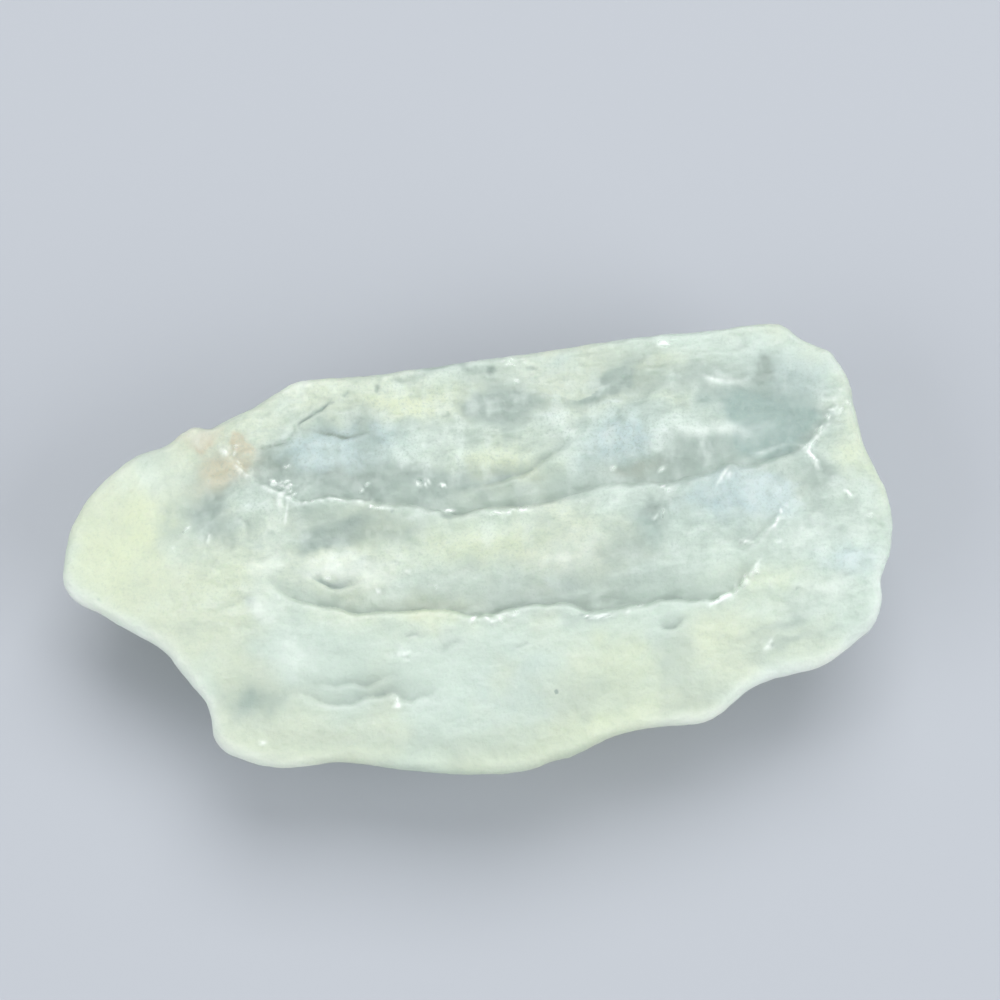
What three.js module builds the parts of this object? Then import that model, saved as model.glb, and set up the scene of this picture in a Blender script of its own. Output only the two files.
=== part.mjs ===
// A lump of Libyan desert glass: natural silica glass in one piece, frosted and fluted by windblown sand.
// Millimetres, +Z up. The lump lies on its flat worn facet, +X runs along its length towards the blunt end,
// +Y points to its thick back edge, and the origin is under the middle of its box.

import * as THREE from "three";

// Driving dimensions
const CROWN_HEIGHT = 14.6; // level of the crown above the resting facet, before the flutes are worn in
const CROWN_END_FALL = 1.3; // how far the crown sinks towards the two ends
const FRONT_FALL = 3; // how far the crown leans down towards the front edge
const BACK_FALL = 1; // the same towards the back edge
const LOBE_FALL = 1.2; // extra fall over the narrow left lobe
const TOP_ROLL = 0.9; // width of the rounding between the rim and the flat top
const TOP_SQUARENESS = 2.2; // 2 for a quarter round; above 2 it is tighter at the rim
const BELLY_ROLL = 10.3; // width of the curve from the rim down to the facet
const BELLY_LIP_ROLL = 2.6; // width of the small rounding right under the rim
const BELLY_LIP_SHARE = 0.24; // share of the drop to the facet that the small rounding takes
const WAVE_BLEND = 2.4; // how far inwards the waves of the rim take to fade
const RIM_BLEND = 1.6; // how far inwards the rim's own height counts in full
const LOBE_LIFT = 2.8; // clearance under the tip of the left lobe
const NOSE_LIFT = 1.6; // clearance under the right-hand end

// Mesh density
const CELLS_LONG = 62;
const CELLS_WIDE = 38;
const RIM_STEPS = 4; // curve steps between two rim points
const LINE_STEPS = 6; // curve steps between two points of a flute line
const RIM_CROWDING = 1.3; // above 1 the cells get narrower towards the rim
const GRID_TURN = THREE.MathUtils.degToRad(20); // keeps the grid's corners off the hollow parts of the rim
const GRID_CENTRE = new THREE.Vector3(-3, -3, 0); // every part of the rim can be seen from here

// The rim is the widest line round the lump: x, y and its height above the facet, clockwise seen from above.
const LEFT_LOBE = [
  [-32.9, -2.6, 10.3],
  [-32.5, 0.5, 10.8],
  [-31.8, 2.4, 11.1],
  [-30.6, 4.3, 11.1],
  [-29.1, 5.8, 11],
  [-27.3, 7.3, 10.9],
  [-25.2, 7.9, 11.2],
  [-23.8, 8.9, 11.2],
];
const NUB_AND_NOTCH = [
  [-22.9, 9.4, 11.3],
  [-22.2, 9.4, 11.4],
  [-21.3, 9.2, 11.7],
  [-20.5, 9.6, 11.8],
];
const BACK_EDGE = [
  [-19.8, 10, 11.7],
  [-18.1, 10.8, 11.7],
  [-16.1, 12.3, 11.4],
  [-14.1, 13.2, 11.4],
  [-10.6, 13.5, 11.4],
  [-7.3, 13.9, 11.4],
  [-2.8, 14.5, 11.4],
  [2.1, 15.3, 11.4],
  [7.5, 16.1, 11.4],
  [13.2, 17.1, 11.3],
  [18.6, 17.7, 11.1],
];
const BLUNT_CORNER = [
  [23.6, 18.4, 10.7],
  [25, 18.1, 10.6],
  [26.3, 17, 10.6],
  [28.3, 16.2, 10.5],
  [29.2, 15.2, 10.4],
  [30.1, 13.3, 10.5],
];
const RIGHT_END = [
  [30.4, 11, 11],
  [30.8, 8.1, 12.2],
  [31.7, 5.5, 12.9],
  [32.5, 3.5, 12.8],
  [32.8, 1.2, 12.7],
  [32.5, -1.2, 12.4],
  [31.8, -3.1, 12.1],
  [31.8, -4.9, 11.7],
  [31.2, -6.6, 11.3],
];
const WAVY_FRONT_RIGHT = [
  [29.9, -7.8, 11.1],
  [28.6, -8.9, 11.1],
  [27.3, -9.8, 11],
  [25.8, -10.3, 11],
  [24, -10.7, 11.1],
  [22.6, -11.1, 11.1],
  [21.1, -11.9, 10.9],
  [19.9, -12.9, 10.7],
  [18.8, -13.8, 10.7],
  [17.4, -14.4, 10.7],
];
const FRONT_EDGE = [
  [15, -14.6, 10.8],
  [13.1, -14.8, 10.8],
  [11.3, -15.2, 10.8],
  [9.4, -16, 10.7],
  [7.4, -17, 10.6],
  [5.9, -17.4, 10.6],
  [4.3, -18, 10.7],
  [1.4, -18.4, 10.7],
  [-2.4, -18.3, 10.6],
  [-4.7, -18.1, 10.5],
  [-7.2, -17.8, 10.5],
  [-10.4, -17.4, 10.5],
  [-12.4, -17.6, 10.4],
];
const FRONT_LEFT_CORNER = [
  [-14.7, -17.8, 10.2],
  [-16.4, -17.7, 10.1],
  [-18, -17.2, 10],
  [-19.6, -16.5, 9.9],
  [-20.5, -15.4, 10],
  [-20.7, -14.2, 10.2],
];
const HOLLOW_WAIST = [
  [-21.1, -12.8, 10.4],
  [-21.9, -11.8, 10.4],
  [-23, -10.6, 10.3],
  [-24, -9.2, 10.5],
  [-25, -8.3, 10.5],
  [-26.4, -7.5, 10.4],
  [-28, -6.6, 10.2],
  [-29.7, -5.5, 10],
  [-31.5, -4.6, 10],
  [-32.5, -3.7, 10.1],
];
const RIM_POINTS = [
  ...LEFT_LOBE,
  ...NUB_AND_NOTCH,
  ...BACK_EDGE,
  ...BLUNT_CORNER,
  ...RIGHT_END,
  ...WAVY_FRONT_RIGHT,
  ...FRONT_EDGE,
  ...FRONT_LEFT_CORNER,
  ...HOLLOW_WAIST,
];

// Flute lines: along each one the glass sinks slowly from behind, then comes up again in a short steep wall.
// points are x, y from left to right; depth lists the groove's depth at even steps along the line;
// behind and ahead are the reach of the slow side and of the steep side.
const FLUTE_LINES = [
  // the long flute line
  {
    points: [
      [-22.2, 8.8],
      [-19.7, 5.5],
      [-16.9, 3.5],
      [-14.9, 2.7],
      [-12.8, 2.5],
      [-9.9, 2.6],
      [-7.4, 2.1],
      [-2.3, 1.6],
      [-0.2, 1.9],
      [3.3, 2.2],
      [6.1, 2.6],
      [10.1, 3.8],
      [13.4, 3.9],
      [16.9, 4.5],
      [18.7, 5.2],
      [20.8, 5.5],
      [22.5, 5.8],
      [25.9, 7.3],
      [28.2, 10.2],
      [29.1, 11.7],
    ],
    depth: [0, 0.25, 0.35, 0.4, 0.45, 0.6, 0.75, 0.75, 0.65, 0.5, 0.45, 0.4, 0],
    behind: 2.1,
    ahead: 0.8,
  },
  // the front one
  {
    points: [
      [-16.7, -3.4],
      [-15.6, -4.5],
      [-13.9, -5.4],
      [-11, -5.8],
      [-8.3, -6.2],
      [-3.7, -5.9],
      [-0.8, -6.3],
      [1.3, -6.2],
      [3.5, -5.7],
      [5.6, -5.6],
      [7.6, -6.1],
      [9.5, -6.6],
      [11.1, -6.2],
      [13.4, -5.6],
      [17.8, -5.1],
      [19.3, -5],
      [21.4, -3.2],
      [22, -2.3],
    ],
    depth: [0, 0.4, 0.5, 0.6, 0.65, 0.65, 0.7, 0.7, 0.65, 0.65, 0.6, 0.4, 0],
    behind: 1.9,
    ahead: 0.8,
  },
  // the crest at the right end
  {
    points: [
      [19.3, -0.5],
      [21, -1],
      [22.5, -0.2],
      [23.8, 1.8],
      [26.2, 4.1],
      [26.8, 4.8],
    ],
    depth: [0, 0.35, 0.4, 0.25, 0.15, 0],
    behind: 1.3,
    ahead: 0.8,
  },
  // the terrace in the middle
  {
    points: [
      [-3.8, 2.9],
      [-1, 3.6],
      [1.7, 4.3],
      [3.8, 4.8],
      [5.4, 5.9],
      [7.2, 7.1],
    ],
    depth: [0, 0.2, 0.35, 0.5, 0.5, 0],
    behind: 1.4,
    ahead: 0.8,
  },
  // the terrace at the front left
  {
    points: [
      [-15.6, -12.4],
      [-13.9, -12.6],
      [-12, -13.4],
      [-10, -13.5],
      [-8.1, -13],
      [-6.5, -12.9],
      [-5.2, -13.2],
      [-3.3, -12.3],
      [-2.3, -11.8],
    ],
    depth: [0, 0.2, 0.35, 0.35, 0.3, 0.2, 0],
    behind: 1.3,
    ahead: 0.8,
  },
];

// Broad soft hollows (rise below 0) and swells (rise above 0): centre, half-sizes, turn in degrees and rise.
const UNDULATIONS = [
  { x: -3.1, y: 8.8, long: 12, wide: 3.2, turn: 4, rise: -0.45 }, // trough behind the long flute line
  { x: 14, y: 9.3, long: 10, wide: 3.5, turn: 6, rise: -0.25 },
  { x: 24.1, y: 9.6, long: 4, wide: 3.4, turn: 0, rise: -0.6 }, // basin at the blunt end
  { x: -11.7, y: 5.8, long: 4.5, wide: 1.9, turn: 0, rise: -0.35 },
  { x: -14.2, y: 2.7, long: 8, wide: 9, turn: 0, rise: 0.5 },
  { x: 1.9, y: 0.7, long: 6, wide: 13, turn: 0, rise: -0.5 },
  { x: 15, y: 4.8, long: 7, wide: 8, turn: 10, rise: 0.5 },
  { x: -11.2, y: -0.3, long: 3.4, wide: 1.6, turn: 0, rise: -0.35 },
  { x: -21.5, y: 2.1, long: 2.2, wide: 2.8, turn: 0, rise: -0.35 },
  { x: -17.5, y: -13.5, long: 2, wide: 1.4, turn: 0, rise: -0.4 },
  { x: -11.5, y: -3.4, long: 2.2, wide: 0.9, turn: 0, rise: 0.22 },
  { x: 20.1, y: 2.1, long: 3.5, wide: 2.2, turn: 0, rise: 0.2 },
  { x: 22.9, y: -6.9, long: 4.5, wide: 1, turn: 22, rise: -0.2 },
  { x: 21, y: -3, long: 2.6, wide: 1.6, turn: 25, rise: 0.3 },
  { x: 29.5, y: 0.7, long: 2.4, wide: 1.8, turn: 0, rise: -0.25 },
  { x: -18.9, y: 9.1, long: 3.6, wide: 1.4, turn: 35, rise: 0.3 },
];

// Shallow bowls worn into the flanks: centre, reach and depth.
const FLANK_HOLLOWS = [
  { at: [-27, 8.5, 4.5], reach: 6, depth: 0.7 },
  { at: [-14, 14.5, 4], reach: 7, depth: 1.1 },
  { at: [-3, 16, 5.5], reach: 5, depth: 0.6 },
  { at: [7, 17.5, 3.5], reach: 8, depth: 1.3 },
  { at: [19, 19, 5], reach: 6, depth: 0.9 },
  { at: [31, 14.5, 3.5], reach: 6, depth: 0.9 },
  { at: [34, 3, 3], reach: 7, depth: 1.1 },
  { at: [28, -10, 2.5], reach: 6, depth: 0.8 },
  { at: [17, -15, 2.2], reach: 6, depth: 0.8 },
  { at: [3, -18.5, 2], reach: 7, depth: 0.8 },
  { at: [-11, -18.5, 2], reach: 6, depth: 0.7 },
  { at: [-24, -11, 3], reach: 6, depth: 0.8 },
  { at: [-33, -3, 3.5], reach: 5, depth: 0.6 },
];

const frostedGlass = new THREE.MeshStandardMaterial({
  color: 0xcddcce,
  roughness: 0.5,
  metalness: 0,
});

// The curve through hand-placed points, as a polyline with a few steps between each two.
function smoothPolyline(points, closed, steps) {
  const knots = points.map(([x, y, z = 0]) => new THREE.Vector3(x, y, z));
  const curve = new THREE.CatmullRomCurve3(knots, closed, "catmullrom", 0.5);
  const spans = closed ? knots.length : knots.length - 1;
  const polyline = curve.getPoints(spans * steps);
  return polyline;
}

// The nearest place on a polyline to (x, y), looking down: distance, height there and share of the way along.
function nearestOn(polyline, x, y) {
  let best = { distance: Infinity, height: 0, along: 0 };
  for (let i = 0; i < polyline.length - 1; i += 1) {
    const a = polyline[i];
    const b = polyline[i + 1];
    const dx = b.x - a.x;
    const dy = b.y - a.y;
    const raw = ((x - a.x) * dx + (y - a.y) * dy) / (dx * dx + dy * dy);
    const t = THREE.MathUtils.clamp(raw, 0, 1);
    const distance = Math.hypot(x - a.x - t * dx, y - a.y - t * dy);
    if (distance < best.distance) {
      const along = (i + t) / (polyline.length - 1);
      best = { distance, height: a.z + t * (b.z - a.z), along };
    }
  }
  return best;
}

// A value from an evenly spaced list, at a share of the way through it.
function listValue(values, share) {
  const place = share * (values.length - 1);
  const i = Math.min(Math.floor(place), values.length - 2);
  return THREE.MathUtils.lerp(values[i], values[i + 1], place - i);
}

// The y of a left-to-right polyline at x; beyond its ends, the y of the nearer end.
function lineYAt(polyline, x) {
  const last = polyline.length - 1;
  if (x <= polyline[0].x) return polyline[0].y;
  if (x >= polyline[last].x) return polyline[last].y;
  const i = polyline.findIndex((point) => point.x > x);
  const a = polyline[i - 1];
  const b = polyline[i];
  return THREE.MathUtils.lerp(a.y, b.y, (x - a.x) / (b.x - a.x));
}

// A rounded shoulder: 0 at the rim, rising steeply at first, level (1) from the given width inwards.
function shoulder(inset, width, squareness) {
  const left = 1 - THREE.MathUtils.clamp(inset / width, 0, 1);
  return Math.pow(1 - Math.pow(left, squareness), 1 / squareness);
}

const rimPolyline = smoothPolyline(RIM_POINTS, true, RIM_STEPS);
const flutes = FLUTE_LINES.map((line) => ({
  ...line,
  polyline: smoothPolyline(line.points, false, LINE_STEPS),
}));

// Distance in from the rim and the rim's height, averaged over a stretch of it, so that its waves fade inwards.
function softRim(x, y) {
  let sum = 0;
  let heights = 0;
  for (let i = 0; i < rimPolyline.length - 1; i += 1) {
    const a = rimPolyline[i];
    const b = rimPolyline[i + 1];
    const distance = Math.hypot(x - (a.x + b.x) / 2, y - (a.y + b.y) / 2);
    const weight = Math.exp(-distance / WAVE_BLEND) * Math.hypot(b.x - a.x, b.y - a.y);
    sum += weight;
    heights += (weight * (a.z + b.z)) / 2;
  }
  return { inset: -WAVE_BLEND * Math.log(sum / (2 * WAVE_BLEND)), height: heights / sum };
}

// The rim's height as the surface at (x, y) feels it: its own close by, the averaged one further in.
function feltRimHeight(rim, soft) {
  const ownShare = Math.exp(-Math.pow(rim.distance / RIM_BLEND, 2));
  return THREE.MathUtils.lerp(soft.height, rim.height, ownShare);
}

// How far a flute line lowers the surface at (x, y).
function fluteDepth(flute, x, y) {
  const { distance, along } = nearestOn(flute.polyline, x, y);
  const reach = y > lineYAt(flute.polyline, x) ? flute.behind : flute.ahead;
  return listValue(flute.depth, along) * Math.exp(-Math.pow(distance / reach, 1.2));
}

// How far an undulation raises the surface at (x, y).
function undulationRise(form, x, y) {
  const turn = THREE.MathUtils.degToRad(form.turn);
  const along = ((x - form.x) * Math.cos(turn) + (y - form.y) * Math.sin(turn)) / form.long;
  const across = (-(x - form.x) * Math.sin(turn) + (y - form.y) * Math.cos(turn)) / form.wide;
  return form.rise * Math.exp(-along * along - across * across);
}

// The level of the crown at (x, y), with its flutes, as if it had no edges.
function crownLevel(x, y) {
  const fromSummit = (x - 3) / 33;
  let level = CROWN_HEIGHT - CROWN_END_FALL * fromSummit * fromSummit;
  level -= FRONT_FALL * THREE.MathUtils.smoothstep(-y, -3, 19);
  level -= BACK_FALL * THREE.MathUtils.smoothstep(y, 6, 20);
  level -= LOBE_FALL * THREE.MathUtils.smoothstep(-x, 18, 31);
  for (const form of UNDULATIONS) {
    level += undulationRise(form, x, y);
  }
  for (const flute of flutes) {
    level -= fluteDepth(flute, x, y);
  }
  return level;
}

// The upper surface: from the rim over its rounding to the crown.
function topHeight(x, y) {
  const rim = nearestOn(rimPolyline, x, y);
  const rimHeight = feltRimHeight(rim, softRim(x, y));
  const rise = crownLevel(x, y) - rimHeight;
  return rimHeight + rise * shoulder(rim.distance, TOP_ROLL, TOP_SQUARENESS);
}

// The underside: from the rim down to the flat facet at zero, lifted clear under the two ends.
function bellyHeight(x, y) {
  const rim = nearestOn(rimPolyline, x, y);
  const soft = softRim(x, y);
  const rimHeight = feltRimHeight(rim, soft);
  const lobe = LOBE_LIFT * THREE.MathUtils.smoothstep(-x, 18, 31);
  const nose = NOSE_LIFT * THREE.MathUtils.smoothstep(x, 22, 32);
  const lip = shoulder(rim.distance, BELLY_LIP_ROLL, 2);
  const broad = lip * shoulder(soft.inset, BELLY_ROLL, 2);
  const drop = rimHeight - lobe - nose;
  return rimHeight - drop * THREE.MathUtils.lerp(broad, lip, BELLY_LIP_SHARE);
}

// Half-sizes of the rim, to spread the grid evenly over a lump that is longer than it is wide.
const halfSize = new THREE.Box3()
  .setFromPoints(rimPolyline)
  .getSize(new THREE.Vector3())
  .multiplyScalar(0.5);

// The direction of a point from the grid's centre, after the lump's box is scaled to a square.
function bearing(point) {
  return Math.atan2(
    (point.y - GRID_CENTRE.y) / halfSize.y,
    (point.x - GRID_CENTRE.x) / halfSize.x,
  );
}

// Where the ray that leaves the grid's centre in a direction crosses the rim.
function rimAt(angle) {
  for (let i = 0; i < rimPolyline.length - 1; i += 1) {
    const a = rimPolyline[i];
    const b = rimPolyline[i + 1];
    // the rim runs clockwise, so bearings fall from a to b
    const span = THREE.MathUtils.euclideanModulo(bearing(a) - bearing(b), 2 * Math.PI);
    const offset = THREE.MathUtils.euclideanModulo(bearing(a) - angle, 2 * Math.PI);
    if (offset <= span) {
      return crossing(a, b, angle);
    }
  }
  return rimPolyline[0].clone();
}

// The point between a and b that lies in a direction from the grid's centre.
function crossing(a, b, angle) {
  const rayX = Math.cos(angle) * halfSize.x;
  const rayY = Math.sin(angle) * halfSize.y;
  const fromA = rayX * (a.y - GRID_CENTRE.y) - rayY * (a.x - GRID_CENTRE.x);
  const fromB = rayX * (b.y - GRID_CENTRE.y) - rayY * (b.x - GRID_CENTRE.x);
  return new THREE.Vector3().lerpVectors(a, b, fromA / (fromA - fromB));
}

// The place of grid point (i, j): a square grid bent into a disc and stretched out to the rim.
function gridPlace(i, j) {
  const u = (2 * i) / CELLS_LONG - 1;
  const v = (2 * j) / CELLS_WIDE - 1;
  const discX = u * Math.sqrt(1 - (v * v) / 2);
  const discY = v * Math.sqrt(1 - (u * u) / 2);
  const radius = Math.min(Math.hypot(discX, discY), 1);
  const reach = 1 - Math.pow(1 - radius, RIM_CROWDING);
  const rim = rimAt(Math.atan2(discY, discX) + GRID_TURN);
  return new THREE.Vector3().lerpVectors(GRID_CENTRE, rim, reach);
}

function onRim(i, j) {
  return i === 0 || j === 0 || i === CELLS_LONG || j === CELLS_WIDE;
}

// One closed skin: an upper and a lower grid that share the points along the rim.
function buildLump() {
  const positions = [];
  const upper = [];
  const lower = [];
  const addPoint = (x, y, z) => {
    positions.push(x, y, z);
    return positions.length / 3 - 1;
  };
  for (let i = 0; i <= CELLS_LONG; i += 1) {
    upper.push([]);
    lower.push([]);
    for (let j = 0; j <= CELLS_WIDE; j += 1) {
      const place = gridPlace(i, j);
      if (onRim(i, j)) {
        const shared = addPoint(place.x, place.y, place.z);
        upper[i].push(shared);
        lower[i].push(shared);
      } else {
        upper[i].push(addPoint(place.x, place.y, topHeight(place.x, place.y)));
        lower[i].push(addPoint(place.x, place.y, bellyHeight(place.x, place.y)));
      }
    }
  }
  const geometry = new THREE.BufferGeometry();
  geometry.setAttribute("position", new THREE.Float32BufferAttribute(positions, 3));
  geometry.setIndex([...gridFaces(upper, true), ...gridFaces(lower, false)]);
  return geometry;
}

// The triangles of a grid of point numbers; each cell is split towards the middle of the nearest corner.
function gridFaces(numbers, facingUp) {
  const faces = [];
  const addFace = (a, b, c) => {
    if (facingUp) faces.push(a, b, c);
    else faces.push(a, c, b);
  };
  for (let i = 0; i < CELLS_LONG; i += 1) {
    for (let j = 0; j < CELLS_WIDE; j += 1) {
      const a = numbers[i][j];
      const b = numbers[i + 1][j];
      const c = numbers[i + 1][j + 1];
      const d = numbers[i][j + 1];
      if (i < CELLS_LONG / 2 === j < CELLS_WIDE / 2) {
        addFace(a, b, c);
        addFace(a, c, d);
      } else {
        addFace(a, b, d);
        addFace(b, c, d);
      }
    }
  }
  return faces;
}

// Wears the bowls into the flanks, inwards along the skin's own direction; the facet stays flat.
function wearFlanks(geometry) {
  geometry.computeVertexNormals();
  const positions = geometry.attributes.position;
  const outward = new THREE.Vector3();
  const point = new THREE.Vector3();
  for (let i = 0; i < positions.count; i += 1) {
    point.fromBufferAttribute(positions, i);
    outward.fromBufferAttribute(geometry.attributes.normal, i);
    if (point.z > 0) {
      let depth = 0;
      for (const hollow of FLANK_HOLLOWS) {
        const share = point.distanceTo(new THREE.Vector3(...hollow.at)) / hollow.reach;
        if (share < 1) depth += hollow.depth * (1 - share * share) ** 2;
      }
      point.addScaledVector(outward, -depth);
      positions.setXYZ(i, point.x, point.y, point.z);
    }
  }
  return geometry;
}

// Puts the origin under the middle of the finished box, with the facet at zero.
function centreOnBase(geometry) {
  geometry.computeBoundingBox();
  const centre = geometry.boundingBox.getCenter(new THREE.Vector3());
  geometry.translate(-centre.x, -centre.y, -geometry.boundingBox.min.z);
  geometry.computeVertexNormals();
  return geometry;
}

const lump = new THREE.Mesh(centreOnBase(wearFlanks(buildLump())), frostedGlass);
lump.name = "libyan_desert_glass";

const group = new THREE.Group();
group.add(lump);

export default group;
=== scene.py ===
"""A lump of Libyan desert glass: frosted, pale natural silica glass fluted by windblown sand.

The lump is one piece. Its form is worked out in millimetres in the part's own frame (+X along the
lump, +Y towards its thick back edge, +Z up from the facet that it rests on) and becomes a mesh in metres.
"""

from __future__ import annotations

import logging
import math
from dataclasses import dataclass
from enum import Enum

import bpy
import numpy as np
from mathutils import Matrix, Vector


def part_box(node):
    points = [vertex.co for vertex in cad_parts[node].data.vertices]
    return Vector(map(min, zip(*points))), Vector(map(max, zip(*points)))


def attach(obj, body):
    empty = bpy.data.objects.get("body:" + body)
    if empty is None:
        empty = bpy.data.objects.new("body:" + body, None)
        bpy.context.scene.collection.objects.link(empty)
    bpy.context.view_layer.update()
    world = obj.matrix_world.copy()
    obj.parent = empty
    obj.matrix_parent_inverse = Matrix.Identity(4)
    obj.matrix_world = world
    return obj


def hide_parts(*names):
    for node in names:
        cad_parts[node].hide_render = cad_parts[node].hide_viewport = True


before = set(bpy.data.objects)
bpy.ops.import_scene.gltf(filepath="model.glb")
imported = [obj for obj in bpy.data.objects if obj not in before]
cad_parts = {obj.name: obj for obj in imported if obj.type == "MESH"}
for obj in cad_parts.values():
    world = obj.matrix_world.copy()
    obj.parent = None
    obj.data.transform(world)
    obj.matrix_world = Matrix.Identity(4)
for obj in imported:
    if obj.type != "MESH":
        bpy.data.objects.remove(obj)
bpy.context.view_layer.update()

Array = np.ndarray
Point = tuple[float, float]
Place = tuple[float, float, float]
Colour = tuple[float, float, float]
Span = tuple[float, float]
Socket = bpy.types.NodeSocket

MM = 0.001  # metres in a millimetre
TINY = 1e-12  # keeps a length of 0 from being divided by
NODE = "libyan_desert_glass"
LUMP_NAME = "desert_glass_lump"

log = logging.getLogger("desert_glass")


# ---------------------------------------------------------------------------------------------
# Small mathematics
# ---------------------------------------------------------------------------------------------


def smoothstep(low: float, high: float, value: Array) -> Array:
    """Ease from 0 at low to 1 at high.

    Args:
        low: Where the ease starts.
        high: Where it ends.
        value: The numbers to ease.

    Returns:
        Numbers from 0 to 1.
    """
    share = np.clip((value - low) / (high - low), 0.0, 1.0)
    return share * share * (3.0 - 2.0 * share)


def shoulder(inset: Array, width: float, squareness: float = 2.0) -> Array:
    """Give a rounded edge's profile.

    Args:
        inset: Distance in from the rim.
        width: Distance at which the profile is level.
        squareness: 2 for a quarter round; above 2 the round gets tighter at the rim.

    Returns:
        0 at the rim, rising steeply at first, 1 from the width inwards.
    """
    left = 1.0 - np.clip(inset / width, 0.0, 1.0)
    return (1.0 - left**squareness) ** (1.0 / squareness)


def fading(distance: Array, reach: float, power: float = 2.0) -> Array:
    """Fade from 1 on a line to 0 away from it.

    Args:
        distance: Distances from the line.
        reach: Where the fade is down to about a third.
        power: How flat the fade is near the line.

    Returns:
        Numbers from 0 to 1.
    """
    return np.exp(-((distance / reach) ** power))


def evenly(values: tuple[float, ...], share: Array) -> Array:
    """Read an evenly spaced list.

    Args:
        values: The list.
        share: Shares of the way along it.

    Returns:
        The values there.
    """
    return np.interp(share, np.linspace(0.0, 1.0, len(values)), values)


def turned(x: Array, y: Array, degrees: float) -> tuple[Array, Array]:
    """Measure places along and across a direction.

    Args:
        x: The points' x.
        y: Their y.
        degrees: The direction, anticlockwise from +X.

    Returns:
        How far along it and how far to its left each point is.
    """
    c, s = math.cos(math.radians(degrees)), math.sin(math.radians(degrees))
    return x * c + y * s, -x * s + y * c


def smooth_curve(points: Array, closed: bool, steps: int) -> Array:
    """Run a Catmull-Rom curve through listed points.

    Args:
        points: The points, one a row.
        closed: Whether the curve comes back to its start.
        steps: Straight steps between two points.

    Returns:
        The curve's points; a closed curve repeats its first one.
    """
    count = len(points)
    pieces = []
    for i in range(count if closed else count - 1):
        a, b = points[i], points[(i + 1) % count]
        before = points[i - 1] if closed or i > 0 else 2 * a - b
        after = points[(i + 2) % count] if closed or i + 2 < count else 2 * b - a
        t = np.linspace(0.0, 1.0, steps, endpoint=False)[:, None]
        bend = 2 * before - 5 * a + 4 * b - after
        twist = 3 * a - before - 3 * b + after
        pieces.append(0.5 * (2 * a + (b - before) * t + bend * t**2 + twist * t**3))
    pieces.append(points[:1] if closed else points[-1:])
    return np.concatenate(pieces)


@dataclass
class Nearest:
    """The nearest places on a line to many points."""

    distance: Array
    height: Array
    along: Array
    is_left: Array


class Polyline:
    """A curve as short straight steps, seen from above."""

    def __init__(self, points: Array | tuple, closed: bool, steps: int) -> None:
        """Make the curve.

        Args:
            points: Listed points: x and y, and a height where the curve has one.
            closed: Whether it comes back to its start.
            steps: Straight steps between two points.
        """
        self.points = smooth_curve(np.asarray(points, dtype=float), closed, steps)

    def length(self) -> float:
        """Measure the curve, seen from above."""
        return np.hypot(*np.diff(self.points[:, :2], axis=0).T).sum()

    def nearest(self, x: Array, y: Array) -> Nearest:
        """Find the nearest place to each point.

        Args:
            x: The points' x.
            y: Their y.

        Returns:
            Distances, heights, shares of the way along, and whether each point is left of the line.
        """
        best = np.full(x.shape, np.inf)
        height = np.zeros(x.shape)
        along = np.zeros(x.shape)
        is_left = np.zeros(x.shape, dtype=bool)
        last = len(self.points) - 1
        for i in range(last):
            a, b = self.points[i], self.points[i + 1]
            dx, dy = b[0] - a[0], b[1] - a[1]
            length2 = max(dx * dx + dy * dy, TINY)
            t = np.clip(((x - a[0]) * dx + (y - a[1]) * dy) / length2, 0.0, 1.0)
            distance = np.hypot(x - a[0] - t * dx, y - a[1] - t * dy)
            closer = distance < best
            best[closer] = distance[closer]
            along[closer] = (i + t[closer]) / last
            is_left[closer] = (dx * (y - a[1]) - dy * (x - a[0]) > 0)[closer]
            if len(a) > 2:
                height[closer] = a[2] + t[closer] * (b[2] - a[2])
        return Nearest(best, height, along, is_left)

    def near_box(self, x: Array, y: Array, margin: float) -> Array:
        """Tell which points lie in or near the curve's box.

        Args:
            x: The points' x.
            y: Their y.
            margin: How far outside the box still counts as near it.

        Returns:
            True for each point that does.
        """
        low = self.points[:, :2].min(axis=0) - margin
        high = self.points[:, :2].max(axis=0) + margin
        return (x > low[0]) & (x < high[0]) & (y > low[1]) & (y < high[1])


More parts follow.
